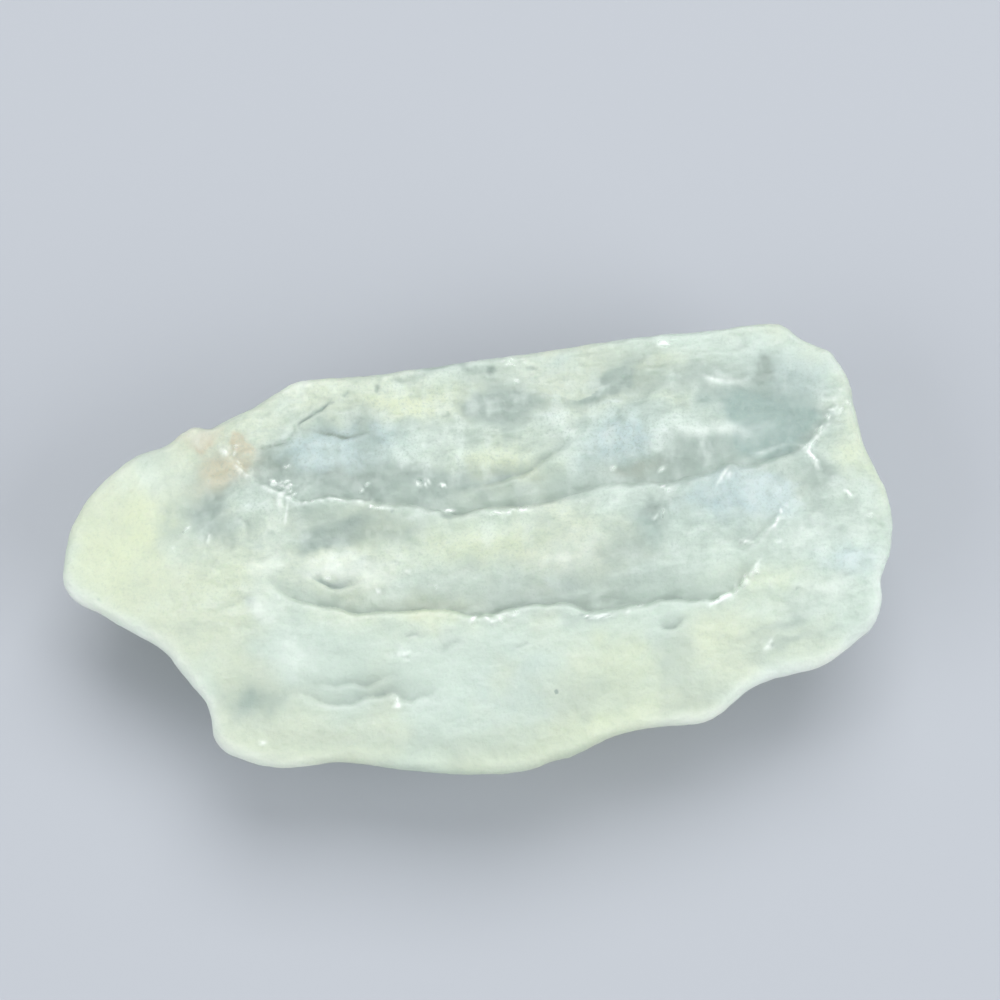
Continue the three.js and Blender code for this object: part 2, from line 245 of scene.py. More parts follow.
class GradientNoise:
    """Smooth repeatable noise in space, about -1 to 1."""

    CORNERS = 8
    TABLE = 256
    GAIN = 1.6  # brings the raw noise to about -1 to 1

    def __init__(self, seed: int) -> None:
        """Shuffle the table of directions.

        Args:
            seed: The seed of the shuffle.
        """
        maker = np.random.default_rng(seed)
        self.shuffle = np.tile(maker.permutation(self.TABLE), 3)
        directions = maker.normal(size=(self.TABLE, 3))
        self.directions = directions / np.linalg.norm(directions, axis=1)[:, None]

    def at(self, x: Array, y: Array | float, z: Array | float) -> Array:
        """Sample the noise, which changes over a distance of 1.

        Args:
            x: The points' x.
            y: Their y.
            z: Their z.

        Returns:
            One number a point.
        """
        z = np.broadcast_to(np.asarray(z, dtype=float), x.shape)
        y = np.broadcast_to(np.asarray(y, dtype=float), x.shape)
        cells = [np.floor(v).astype(int) for v in (x, y, z)]
        local = [v - c for v, c in zip((x, y, z), cells)]
        fade = [v * v * v * (v * (v * 6.0 - 15.0) + 10.0) for v in local]
        total = np.zeros(x.shape)
        for corner in range(self.CORNERS):
            step = [(corner >> axis) & 1 for axis in range(3)]
            index = np.zeros(x.shape, dtype=int)
            for axis in range(3):
                index = self.shuffle[index + ((cells[axis] + step[axis]) & (self.TABLE - 1))]
            direction = self.directions[index]
            value = sum(direction[..., axis] * (local[axis] - step[axis]) for axis in range(3))
            for axis in range(3):
                value = value * (fade[axis] if step[axis] else 1.0 - fade[axis])
            total += value
        return total * self.GAIN

    def layered(self, x: Array, y: Array | float, z: Array | float, octaves: int = 2) -> Array:
        """Add octaves of noise, each half the size and half the height of the one before.

        Args:
            x: The points' x.
            y: Their y.
            z: Their z.
            octaves: How many.

        Returns:
            One number a point.
        """
        total = np.zeros(x.shape)
        scale = 1.0
        for _ in range(octaves):
            total += self.at(x * scale, y * scale, np.asarray(z) * scale) / scale
            scale *= 2.0
        return total


WOBBLE_NOISE = GradientNoise(7)
SWAY_NOISE = GradientNoise(19)
GRAIN_NOISE = GradientNoise(41)


@dataclass(frozen=True)
class Bend:
    """A repeatable bend of places, which makes lines and edges wander as they do on worn glass.

    size is the length of the waves, the reaches are their heights, and the levels are the heights at
    which the two noises are cut.
    """

    size: float
    reach_x: float
    reach_y: float
    level_x: float
    level_y: float
    octaves: int = 2

    def places(self, x: Array, y: Array, seed: float = 0.0) -> tuple[Array, Array]:
        """Bend the places.

        Args:
            x: The points' x.
            y: Their y.
            seed: A shift of the noises.

        Returns:
            The bent x and y.
        """
        u, v = x / self.size, y / self.size
        bent_x = x + self.reach_x * WOBBLE_NOISE.layered(u + seed, v, self.level_x, self.octaves)
        bent_y = y + self.reach_y * SWAY_NOISE.layered(u, v + seed, self.level_y, self.octaves)
        return bent_x, bent_y


# ---------------------------------------------------------------------------------------------
# Features of the worn surface, in millimetres
# ---------------------------------------------------------------------------------------------


class Tint(Enum):
    """The glass's looks from place to place, and its painted shade and highlight; each is a value at every
    point.
    """

    CLEAR = "clear"
    SEA = "sea"
    WARM = "warm"
    # painted shade, with some greyer glass
    SHADE = "shade"
    STAIN = "stain"
    # milky glass, and painted highlight on lit lips, swells and the rim
    FROST_AND_HIGHLIGHT = "frost_and_highlight"
    GLOSS = "gloss"
    CLOUD = "cloud"


@dataclass
class Sheet:
    """The worn skin seen from above, with what the features have done to it so far."""

    x: Array
    y: Array

    def __post_init__(self) -> None:
        """Start with a skin that nothing has touched."""
        self.rise = np.zeros(self.x.shape)
        self.tints = {tint: np.zeros(self.x.shape) for tint in Tint}

    def add_tint(self, tint: Tint, where: Array, amount: Array) -> None:
        """Strengthen one look at some of the points."""
        self.tints[tint][where] += amount


@dataclass
class Flute:
    """A flute line: the glass sinks slowly from behind it and comes up in a short wall to a thin lip.

    Behind is to the left of the way that the points run. depth, lip and fall are read at even steps
    along them. The capital names are the same for all flutes: how their edges wander and break, and
    how far their painted shade, gloss and pale lip reach; the pale lip is milky glass and a painted
    highlight.
    """

    points: tuple[Point, ...]
    depth: tuple[float, ...]
    lip: tuple[float, ...] = (0.0, 0.0)
    behind: float = 2.0
    ahead: float = 0.26
    fall: tuple[float, ...] = (0.0, 0.0)
    fall_start: float = 1.0
    fall_reach: float = 4.5
    fall_shade: float = 0.0
    shade: float = 0.5
    frost_and_highlight: float = 0.6
    wobble: float = 0.14
    seed: float = 0.0

    CURVE_STEPS = 4
    BEHIND_MARGIN = 2.6
    FALL_MARGIN = 2.0
    PLAIN_MARGIN = 0.5
    WOBBLE_SIZE = 2.0
    WOBBLE_LEVELS = (3.1, 7.7)
    SLOW_POWER = 1.15
    STEEP_POWER = 1.5
    SOFT_POWER = 1.3
    UNEVEN_SHARE = 0.4
    UNEVEN_LONG = 3.1
    UNEVEN_WIDE = 4.0
    UNEVEN_LEVEL = 0.5
    BREAK_SIZE = 1.1
    BREAK_LEVELS = (2.2, 1.5)
    BREAK_OCTAVES = 3
    BREAK_MIDDLE = 0.5
    BREAK_SHARE = 1.5
    BREAK_MOST = 1.6
    LIP_GAP = 0.3
    LIP_WIDTH = 0.3
    LIP_FULL = 0.35
    GLOSS_SHARE = 0.5
    GLOSS_LIP = (0.1, 0.3)
    SHADE_REACH = 0.7
    FALL_SHADE_REACH = 1.6
    WALL_WIDTH = 0.25
    WALL_SHADE = 0.3
    LEAST_PEAK = 0.01  # keeps a list of zeros from being divided by

    def mark(self, sheet: Sheet) -> None:
        """Cut the flute into the skin.

        Args:
            sheet: The skin.
        """
        curve = Polyline(self.points, False, self.CURVE_STEPS)
        fall_margin = self.FALL_MARGIN * self.fall_reach if any(self.fall) else self.PLAIN_MARGIN
        near = curve.near_box(sheet.x, sheet.y, self.BEHIND_MARGIN * self.behind + fall_margin)
        x, y = sheet.x[near], sheet.y[near]
        bend = Bend(self.WOBBLE_SIZE, self.wobble, self.wobble, *self.WOBBLE_LEVELS)
        place = curve.nearest(*bend.places(x, y, self.seed))
        travelled = place.along * curve.length()
        u, v = travelled / self.UNEVEN_LONG + self.seed, y / self.UNEVEN_WIDE
        uneven = 1 + self.UNEVEN_SHARE * GRAIN_NOISE.layered(u, v, self.UNEVEN_LEVEL)
        lip = self._lip_height(place, travelled)
        fall = np.where(place.is_left, 0.0, evenly(self.fall, place.along))
        past = 1 - fading(place.distance, self.fall_start, self.STEEP_POWER)
        fallen = fall * past * fading(place.distance, self.fall_reach)
        sheet.rise[near] += self._hollow(place, uneven) + lip - fallen
        # painted shade: in the hollow behind the line, at the foot of the wall and at the top of the fall
        sheet.add_tint(Tint.SHADE, near, self._shade_amount(place, uneven, fall))
        # the pale lip: milky bruised glass, and a painted highlight where the lip faces the light
        sheet.add_tint(Tint.FROST_AND_HIGHLIGHT, near, self.frost_and_highlight * lip / self.LIP_FULL)
        sheet.add_tint(Tint.GLOSS, near, self.GLOSS_SHARE * smoothstep(*self.GLOSS_LIP, lip))

    def _hollow(self, place: Nearest, uneven: Array) -> Array:
        """Give the hollow, which sinks slowly behind the line and comes up steeply ahead of it.

        Args:
            place: The nearest places on the line.
            uneven: How deep the hollow is from place to place.

        Returns:
            Rises, 0 or less.
        """
        slow = fading(place.distance, self.behind, self.SLOW_POWER)
        steep = fading(place.distance, self.ahead, self.STEEP_POWER)
        return -evenly(self.depth, place.along) * uneven * np.where(place.is_left, slow, steep)

    def _lip_height(self, place: Nearest, travelled: Array) -> Array:
        """Give the thin broken lip just ahead of the line.

        Args:
            place: The nearest places on the line.
            travelled: How far along the line they are.

        Returns:
            Rises.
        """
        u = travelled / self.BREAK_SIZE + self.seed
        breaks = SWAY_NOISE.layered(u, *self.BREAK_LEVELS, self.BREAK_OCTAVES)
        broken = np.clip(self.BREAK_MIDDLE + self.BREAK_SHARE * breaks, 0, self.BREAK_MOST)
        from_lip = np.where(place.is_left, place.distance, -place.distance) + self.LIP_GAP
        return evenly(self.lip, place.along) * broken * fading(from_lip, self.LIP_WIDTH)

    def _shade_amount(self, place: Nearest, uneven: Array, fall: Array) -> Array:
        """Give the shade in the hollow, on the short wall and at the top of the fall.

        Args:
            place: The nearest places on the line.
            uneven: How strong the shade is from place to place.
            fall: The fall ahead of the line.

        Returns:
            Amounts of shade.
        """
        in_fall = fading(place.distance, self.FALL_SHADE_REACH * self.fall_start) * uneven
        fall_amount = self.fall_shade * fall / max(*self.fall, self.LEAST_PEAK) * in_fall
        strength = evenly(self.depth, place.along) / max(*self.depth, self.LEAST_PEAK)
        soft = fading(place.distance, self.behind * self.SHADE_REACH, self.SOFT_POWER) * uneven
        wall = self.WALL_SHADE * fading(place.distance, self.WALL_WIDTH)
        return fall_amount + self.shade * strength * np.where(place.is_left, soft, wall)


@dataclass
class Crack:
    """A thin groove, darkened by painted shade."""

    points: tuple[Point, ...]
    depth: float = 0.2
    width: float = 0.16
    shade: float = 1.0
    step_down: float = 0.0

    CURVE_STEPS = 4
    BEND = Bend(0.8, 0.09, 0.09, 11.3, 5.9)
    MARGIN = 3.0
    STEP_REACH = 1.2
    UNEVEN_SIZE = 1.1
    UNEVEN_LEVEL = 4.4
    UNEVEN_MIDDLE = 0.8
    UNEVEN_SHARE = 0.7
    UNEVEN_LIMITS = (0.1, 1.4)

    def mark(self, sheet: Sheet) -> None:
        """Cut the crack into the skin, its right side lower by step_down.

        Args:
            sheet: The skin.
        """
        curve = Polyline(self.points, False, self.CURVE_STEPS)
        near = curve.near_box(sheet.x, sheet.y, self.MARGIN)
        x, y = sheet.x[near], sheet.y[near]
        place = curve.nearest(*self.BEND.places(x, y))
        ends = np.sin(np.pi * np.clip(place.along, 0, 1)) ** 0.5
        grain = GRAIN_NOISE.at(x / self.UNEVEN_SIZE, y / self.UNEVEN_SIZE, self.UNEVEN_LEVEL)
        uneven = np.clip(self.UNEVEN_MIDDLE + self.UNEVEN_SHARE * grain, *self.UNEVEN_LIMITS)
        groove = ends * uneven * fading(place.distance, self.width)
        stepped = np.where(place.is_left, 0.0, fading(place.distance, self.STEP_REACH, 1.0)) * ends
        sheet.rise[near] -= self.depth * groove + self.step_down * stepped
        # painted shade in the groove
        sheet.add_tint(Tint.SHADE, near, self.shade * groove)


@dataclass
class Chip:
    """A small bruise: a crumpled bump, or a pit where rise is below 0, with glossy fresh faces."""

    x: float
    y: float
    long: float = 0.35
    wide: float = 0.25
    turn: float = 0.0
    rise: float = 0.12
    frost_and_highlight: float = 0.6
    gloss: float = 1.0
    shade: float = 0.0

    BEND = 0.45
    REACH = 3.0
    MARGIN = 0.4
    EDGE_POWER = 1.5
    CRUMPLE_SIZE = 0.35
    CRUMPLE_MIDDLE = 0.8
    CRUMPLE_SHARE = 0.9
    PALE_MIDDLE = 0.7
    PALE_MOST = 1.4
    PIT_LIP = (0.1, -0.9)

    def mark(self, sheet: Sheet) -> None:
        """Bruise the skin.

        Args:
            sheet: The skin.
        """
        size = max(self.long, self.wide)
        reach = self.REACH * size + self.MARGIN
        near = (np.abs(sheet.x - self.x) < reach) & (np.abs(sheet.y - self.y) < reach)
        x, y = sheet.x[near] - self.x, sheet.y[near] - self.y
        bend = self.BEND * min(self.long, self.wide)
        x = x + bend * WOBBLE_NOISE.layered(x / size + self.x, y / size, self.y)
        y = y + bend * SWAY_NOISE.layered(x / size, y / size + self.y, self.x)
        along, across = turned(x, y, self.turn)
        along, across = along / self.long, across / self.wide
        share = np.exp(-((along**2 + across**2) ** self.EDGE_POWER))
        crumple = GRAIN_NOISE.at(x / self.CRUMPLE_SIZE + self.x, y / self.CRUMPLE_SIZE, self.y)
        sheet.rise[near] += self.rise * share * (self.CRUMPLE_MIDDLE + self.CRUMPLE_SHARE * crumple)
        # on a bump, milky bruised glass broken by its crumples; in a pit, a painted highlight on its front
        # lip, whose wall faces the back lamp
        if self.rise > 0:
            pale = np.clip(self.PALE_MIDDLE + crumple, 0, self.PALE_MOST)
        else:
            pale = self.PALE_MOST * smoothstep(*self.PIT_LIP, across)
        sheet.add_tint(Tint.FROST_AND_HIGHLIGHT, near, self.frost_and_highlight * share * pale)
        sheet.add_tint(Tint.GLOSS, near, self.gloss * share)
        # painted shade in the pit
        sheet.add_tint(Tint.SHADE, near, self.shade * share)


@dataclass
class Bruises:
    """Small chips scattered along a stretch of an edge."""

    start: Point
    end: Point
    count: int
    seed: int
    size: float = 0.24
    spread: float = 0.25
    frost_and_highlight: float = 0.7

    PLACE_IN_SLOT = (0.1, 0.9)
    LONG = (0.6, 2.2)
    WIDE = (0.35, 0.75)
    TURN_SPREAD = 28
    RISE = (0.04, 0.15)
    FROST_AND_HIGHLIGHT = (0.2, 1.3)
    GLOSS = (0.1, 0.2, 1.0)

    def mark(self, sheet: Sheet) -> None:
        """Scatter the chips.

        Args:
            sheet: The skin.
        """
        chance = np.random.default_rng(self.seed)
        start, end = np.array(self.start), np.array(self.end)
        bearing = math.degrees(math.atan2(*(end - start)[::-1]))
        for share in (np.arange(self.count) + chance.uniform(*self.PLACE_IN_SLOT, self.count)) / self.count:
            x, y = start + share * (end - start) + chance.normal(0, self.spread, 2)
            Chip(
                x=x,
                y=y,
                long=self.size * chance.uniform(*self.LONG),
                wide=self.size * chance.uniform(*self.WIDE),
                turn=bearing + chance.normal(0, self.TURN_SPREAD),
                rise=chance.uniform(*self.RISE),
                frost_and_highlight=self.frost_and_highlight * chance.uniform(*self.FROST_AND_HIGHLIGHT),
                gloss=chance.choice(self.GLOSS),
            ).mark(sheet)


@dataclass
class Ripple:
    """A spread of soft waves over the whole top, drawn out along the flutes."""

    long: float
    wide: float
    height: float
    turn: float
    seed: float

    FRONT_SHARE = 0.4
    FRONT = (6.0, 10.0)
    LOBE_SHARE = 0.35
    LOBE = (21.0, 25.0)

    def mark(self, sheet: Sheet) -> None:
        """Ripple the skin, less so on the smooth front band and the left lobe.

        Args:
            sheet: The skin.
        """
        along, across = turned(sheet.x, sheet.y, self.turn)
        on_front = 1 + (self.FRONT_SHARE - 1) * smoothstep(*self.FRONT, -sheet.y)
        on_lobe = 1 + (self.LOBE_SHARE - 1) * smoothstep(*self.LOBE, -sheet.x)
        waves = GRAIN_NOISE.layered(along / self.long + self.seed, across / self.wide, self.seed)
        sheet.rise += self.height * on_front * on_lobe * waves


@dataclass
class Swell:
    """A broad soft swell, or a hollow where rise is below 0."""

    x: float
    y: float
    long: float
    wide: float
    rise: float
    turn: float = 0.0

    def mark(self, sheet: Sheet) -> None:
        """Raise or sink the skin."""
        sheet.rise += self.rise * soft_spot(sheet.x, sheet.y, self)


@dataclass
class Patch:
    """A soft-edged place where the glass has one of its looks."""

    tint: Tint
    x: float
    y: float
    long: float
    wide: float
    strength: float
    turn: float = 0.0

    BEND = Bend(2.6, 1.2, 0.84, 1.7, 9.1, octaves=3)

    def mark(self, sheet: Sheet) -> None:
        """Tint the skin, the patch's edge bent by noise."""
        sheet.tints[self.tint] += self.strength * soft_spot(*self.BEND.places(sheet.x, sheet.y), self)


@dataclass
class FlankHollow:
    """A shallow bowl worn into a flank."""

    x: float
    y: float
    z: float
    reach: float
    depth: float

    def at(self, points: Array) -> Array:
        """Give the bowl's depth at each point in space."""
        share = np.linalg.norm(points - (self.x, self.y, self.z), axis=1) / self.reach
        return self.depth * np.clip(1 - share * share, 0, 1) ** 2


def soft_spot(x: Array, y: Array, spot: Swell | Patch) -> Array:
    """Give 1 in the middle of an oval spot, fading to 0 outwards.

    Args:
        x: The points' x.
        y: Their y.
        spot: The spot, with its place, half sizes and turn in degrees.

    Returns:
        One share a point.
    """
    along, across = turned(x - spot.x, y - spot.y, spot.turn)
    return fading(np.hypot(along / spot.long, across / spot.wide), 1.0)


# The rim is the widest line round the lump: x, y and its height above the facet, clockwise from above.
RIM = (
    # left lobe
    (-32.9, -2.6, 10.3), (-32.5, 0.5, 10.8), (-31.8, 2.4, 11.1), (-30.6, 4.3, 11.1), (-29.1, 5.8, 11.0),
    (-27.3, 7.3, 10.9), (-25.2, 7.9, 11.2), (-23.8, 8.9, 11.2),
    # nub and the notch behind it
    (-22.9, 9.4, 11.3), (-22.2, 9.4, 11.4), (-21.3, 9.2, 11.7), (-20.5, 9.6, 11.8),
    # slanting back edge
    (-19.8, 10.0, 11.7), (-18.1, 10.8, 11.7), (-16.1, 12.3, 11.4), (-14.1, 13.2, 11.4),
    (-10.6, 13.5, 11.4), (-7.3, 13.9, 11.4), (-2.8, 14.5, 11.4), (2.1, 15.3, 11.4), (7.5, 16.1, 11.4),
    (13.2, 17.1, 11.3), (18.6, 17.7, 11.1),
    # blunt back corner
    (23.6, 18.4, 10.7), (25.0, 18.1, 10.6), (26.3, 17.0, 10.6), (28.3, 16.2, 10.5), (29.2, 15.2, 10.4),
    (30.1, 13.3, 10.5),
    # right end
    (30.4, 11.0, 11.0), (30.8, 8.1, 12.2), (31.7, 5.5, 12.9), (32.5, 3.5, 12.8), (32.8, 1.2, 12.7),
    (32.5, -1.2, 12.4), (31.8, -3.1, 12.1), (31.8, -4.9, 11.7), (31.2, -6.6, 11.3),
    # wavy front edge on the right
    (29.9, -7.8, 11.1), (28.6, -8.9, 11.1), (27.3, -9.8, 11.0), (25.8, -10.3, 11.0), (24.0, -10.7, 11.1),
    (22.6, -11.1, 11.1), (21.1, -11.9, 10.9), (19.9, -12.9, 10.7), (18.8, -13.8, 10.7),
    (17.4, -14.4, 10.7),
    # front edge
    (15.0, -14.6, 10.8), (13.1, -14.8, 10.8), (11.3, -15.2, 10.8), (9.4, -16.0, 10.7), (7.4, -17.0, 10.6),
    (5.9, -17.4, 10.6), (4.3, -18.0, 10.7), (1.4, -18.4, 10.7), (-2.4, -18.3, 10.6), (-4.7, -18.1, 10.5),
    (-7.2, -17.8, 10.5), (-10.4, -17.4, 10.5), (-12.4, -17.6, 10.4),
    # front left corner
    (-14.7, -17.8, 10.2), (-16.4, -17.7, 10.1), (-18.0, -17.2, 10.0), (-19.6, -16.5, 9.9),
    (-20.5, -15.4, 10.0), (-20.7, -14.2, 10.2),
    # hollow waist
    (-21.1, -12.8, 10.4), (-21.9, -11.8, 10.4), (-23.0, -10.6, 10.3), (-24.0, -9.2, 10.5),
    (-25.0, -8.3, 10.5), (-26.4, -7.5, 10.4), (-28.0, -6.6, 10.2), (-29.7, -5.5, 10.0),
    (-31.5, -4.6, 10.0), (-32.5, -3.7, 10.1),
)

FLUTES = (
    # long flute: a ragged pale crest on the left, a crisp ledge further right
    Flute(
        points=(
            (-21.0, 8.6), (-20.4, 7.6), (-19.7, 6.8), (-19.1, 5.9), (-18.3, 5.2), (-17.4, 4.5),
            (-16.4, 3.9), (-15.5, 3.5), (-14.6, 3.0), (-13.9, 2.6), (-12.8, 2.7), (-11.6, 3.0),
            (-9.9, 2.9), (-8.5, 2.8), (-7.4, 2.6), (-4.8, 2.4), (-2.3, 1.8), (-1.3, 1.8), (-0.2, 2.1),
            (1.2, 2.3), (3.3, 2.5), (4.5, 2.6), (6.0, 2.9), (7.9, 3.5), (10.1, 4.1), (12.0, 4.1),
            (13.4, 4.1), (15.3, 4.2), (16.7, 4.6), (18.0, 4.9), (18.8, 5.2), (19.3, 5.6), (19.9, 5.9),
            (20.6, 5.7), (21.2, 5.6), (22.0, 5.8), (22.7, 6.1), (23.5, 6.5), (24.5, 6.8), (25.4, 7.2),
            (26.0, 7.7), (26.6, 8.3), (27.3, 9.0), (27.9, 10.0), (28.3, 10.8), (28.5, 11.5),
        ),
        depth=(
            0.0, 0.16, 0.31, 0.43, 0.47, 0.56, 0.7, 0.84, 0.81, 0.73, 0.64, 0.58, 0.55, 0.53, 0.51, 0.5,
            0.44, 0.32, 0.11, 0.0,
        ),
        lip=(
            0.05, 0.25, 0.23, 0.2, 0.22, 0.2, 0.15, 0.04, 0.04, 0.04, 0.04, 0.04, 0.05, 0.06, 0.07, 0.08,
            0.12, 0.17, 0.18, 0.1,
        ),
        fall=(
            0.1, 0.3, 0.45, 0.58, 0.55, 0.38, 0.08, 0.0, 0.0, 0.0, 0.0, 0.0, 0.0, 0.0, 0.0, 0.0, 0.0, 0.0,
            0.0, 0.0,
        ),
        behind=2.1, shade=0.72, wobble=0.07, seed=1.3,
    ),
    # front flute
    Flute(
        points=(
            (-16.5, -3.3), (-16.0, -3.9), (-15.4, -4.3), (-14.7, -4.8), (-13.8, -5.1), (-12.4, -5.5),
            (-11.0, -5.6), (-9.8, -6.0), (-8.3, -6.0), (-5.2, -5.9), (-3.7, -5.7), (-2.0, -5.8),
            (-0.8, -6.1), (0.2, -6.2), (1.3, -6.0), (2.4, -5.7), (3.5, -5.5), (4.6, -5.3), (5.6, -5.4),
            (6.6, -5.2), (7.7, -5.4), (8.7, -5.8), (9.5, -5.8), (10.2, -5.7), (11.0, -5.6), (11.9, -5.3),
            (13.4, -5.3), (14.1, -5.0), (14.9, -5.0), (15.8, -5.0), (16.7, -5.1), (17.7, -5.0),
            (18.5, -5.0), (19.2, -4.7), (19.8, -4.4), (20.5, -3.8), (21.2, -3.0), (21.7, -2.3),
            (21.8, -1.7),
        ),
        depth=(
            0.02, 0.38, 0.58, 0.69, 0.76, 0.78, 0.8, 0.8, 0.8, 0.79, 0.76, 0.71, 0.63, 0.49, 0.38, 0.02,
        ),
        lip=(0.0, 0.02, 0.03, 0.03, 0.03, 0.1, 0.12, 0.06, 0.03, 0.04, 0.05, 0.06, 0.08, 0.2, 0.26, 0.11),
        behind=1.9, shade=0.7, wobble=0.07, seed=5.1,
    ),
    # right crest
    Flute(
        points=(
            (17.1, -0.7), (18.4, -0.5), (19.3, -0.4), (20.3, -0.6), (21.0, -0.7), (21.7, -0.4),
            (22.3, 0.2), (23.1, 1.0), (23.7, 1.9), (24.4, 2.7), (25.2, 3.4), (26.0, 4.2), (26.7, 5.0),
        ),
        depth=(0.0, 0.21, 0.4, 0.47, 0.4, 0.28, 0.2, 0.14, 0.0),
        lip=(0.0, 0.03, 0.07, 0.13, 0.15, 0.17, 0.16, 0.05, 0.0),
        behind=1.1, shade=0.45, seed=9.2,
    ),
    # short arm off the long flute at the blunt end
    Flute(
        points=((26.1, 7.5), (26.6, 6.8), (27.0, 6.1), (27.3, 5.3), (27.3, 4.6)),
        depth=(0.0, 0.12, 0.0),
        lip=(0.0, 0.25, 0.1),
        behind=1.0, shade=0.2, seed=9.9,
    ),
    # middle terrace
    Flute(
        points=(
            (-3.8, 3.2), (-2.8, 3.4), (-1.2, 3.8), (0.3, 4.2), (1.7, 4.5), (2.5, 4.8), (3.8, 5.1),
            (4.7, 5.7), (5.6, 6.4), (6.3, 6.9), (7.1, 7.6), (7.6, 8.0),
        ),
        depth=(0.0, 0.15, 0.3, 0.45, 0.6, 0.6, 0.0),
        lip=(0.0, 0.05, 0.06, 0.05, 0.05, 0.0),
        behind=1.3, shade=0.55, seed=2.2,
    ),
    # its short end further back
    Flute(
        points=((6.8, 8.8), (7.6, 9.0), (8.4, 9.3), (9.1, 9.9)),
        depth=(0.0, 0.4, 0.35, 0.0),
        lip=(0.0, 0.08, 0.0),
        behind=0.7, shade=0.4, seed=2.9,
    ),
    # upper terrace: it drops forwards
    Flute(
        points=(
            (6.3, 11.4), (7.7, 11.1), (8.4, 11.2), (9.2, 11.6), (9.9, 12.1), (10.8, 12.6), (11.6, 13.3),
            (12.6, 14.2),
        ),
        depth=(0.0, 0.0),
        fall=(0.0, 0.4, 0.6, 0.65, 0.55, 0.4, 0.0),
        fall_start=0.45, fall_reach=2.6, fall_shade=0.8, seed=3.3,
    ),
    # front left terrace
    Flute(
        points=(
            (-15.6, -12.2), (-14.9, -12.3), (-13.9, -12.4), (-13.0, -12.7), (-12.0, -13.0),
            (-10.6, -13.2), (-9.7, -13.0), (-9.0, -12.6), (-8.1, -12.4), (-7.2, -12.3), (-6.5, -12.3),
            (-5.9, -12.6), (-5.2, -12.8), (-4.4, -12.5), (-3.4, -12.0), (-2.4, -11.5),
        ),
        depth=(0.0, 0.15, 0.25, 0.35, 0.35, 0.35, 0.3, 0.25, 0.0),
        lip=(0.0, 0.02, 0.05, 0.05, 0.05, 0.1, 0.03, 0.0),
        behind=0.9, shade=0.4, wobble=0.3, seed=4.4,
    ),
    # a second ledge behind it
    Flute(
        points=(
            (-13.2, -11.4), (-12.1, -11.4), (-10.9, -11.6), (-9.8, -11.6), (-8.6, -11.5), (-7.5, -11.2),
            (-6.5, -11.1), (-5.6, -11.2),
        ),
        depth=(0.0, 0.25, 0.25, 0.2, 0.0),
        behind=0.8, shade=0.35, wobble=0.3, seed=4.9,
    ),
    # crescents near the blunt corner
    Flute(
        points=((18.9, 15.6), (19.6, 15.5), (20.3, 15.6), (21.0, 15.7), (21.6, 16.0), (22.2, 16.3)),
        depth=(0.0, 0.1, 0.3, 0.35, 0.0),
        lip=(0.0, 0.08, 0.1, 0.0),
        behind=0.6, shade=0.35, wobble=0.06, seed=8.8,
    ),
    Flute(
        points=((18.0, 13.6), (18.8, 13.3), (19.6, 13.1), (20.5, 13.1), (21.4, 13.4), (22.2, 13.9)),
        depth=(0.0, 0.12, 0.15, 0.2, 0.0),
        lip=(0.0, 0.25, 0.3, 0.12, 0.0),
        behind=0.6, shade=0.15, wobble=0.06, seed=8.1,
    ),
    # crescent under the bulge
    Flute(
        points=(
            (-13.1, -2.8), (-12.6, -3.2), (-12.1, -3.7), (-11.4, -4.0), (-10.8, -4.0), (-10.1, -3.9),
            (-9.5, -3.7), (-9.1, -3.2),
        ),
        depth=(0.0, 0.35, 0.5, 0.4, 0.0),
        behind=0.5, wobble=0.05, shade=0.7, seed=8.4,
    ),
    # dent before the front flute
    Flute(
        points=((13.9, -7.2), (14.5, -7.4), (15.2, -7.4), (15.9, -7.0), (16.5, -6.4)),
        depth=(0.0, 0.3, 0.3, 0.0),
        behind=0.6, shade=0.6, seed=7.1,
    ),
    # faint ledge left of the front flute
    Flute(
        points=((-21.2, -5.9), (-20.2, -5.9), (-19.1, -5.6), (-18.2, -5.0), (-17.3, -4.3), (-16.6, -3.9)),
        depth=(0.0, 0.15, 0.12, 0.0),
        behind=1.2, shade=0.2, seed=6.4,
    ),
    # thin ledge in the basin
    Flute(
        points=((21.5, 6.9), (22.2, 7.0), (22.8, 7.2), (23.6, 7.7), (24.3, 7.9), (25.0, 8.1)),
        depth=(0.0, 0.12, 0.15, 0.0),
        lip=(0.0, 0.15, 0.18, 0.12, 0.0),
        behind=0.6, shade=0.15, wobble=0.05, seed=7.7,
    ),
    # squiggle across the long flute's crest
    Flute(
        points=((-14.6, 3.9), (-14.7, 3.3), (-15.1, 2.8), (-15.1, 2.2), (-14.9, 1.5)),
        depth=(0.0, 0.2, 0.25, 0.0),
        lip=(0.0, 0.2, 0.24, 0.2, 0.0),
        behind=0.5, shade=0.3, wobble=0.1, seed=6.9,
    ),
    # step at the right of the long flute
    Flute(
        points=((18.7, 3.7), (19.0, 4.2), (19.5, 4.8), (20.0, 5.4)),
        depth=(0.0, 0.35, 0.0),
        lip=(0.0, 0.35, 0.28, 0.0),
        behind=0.5, shade=0.4, wobble=0.05, seed=1.9,
    ),
)

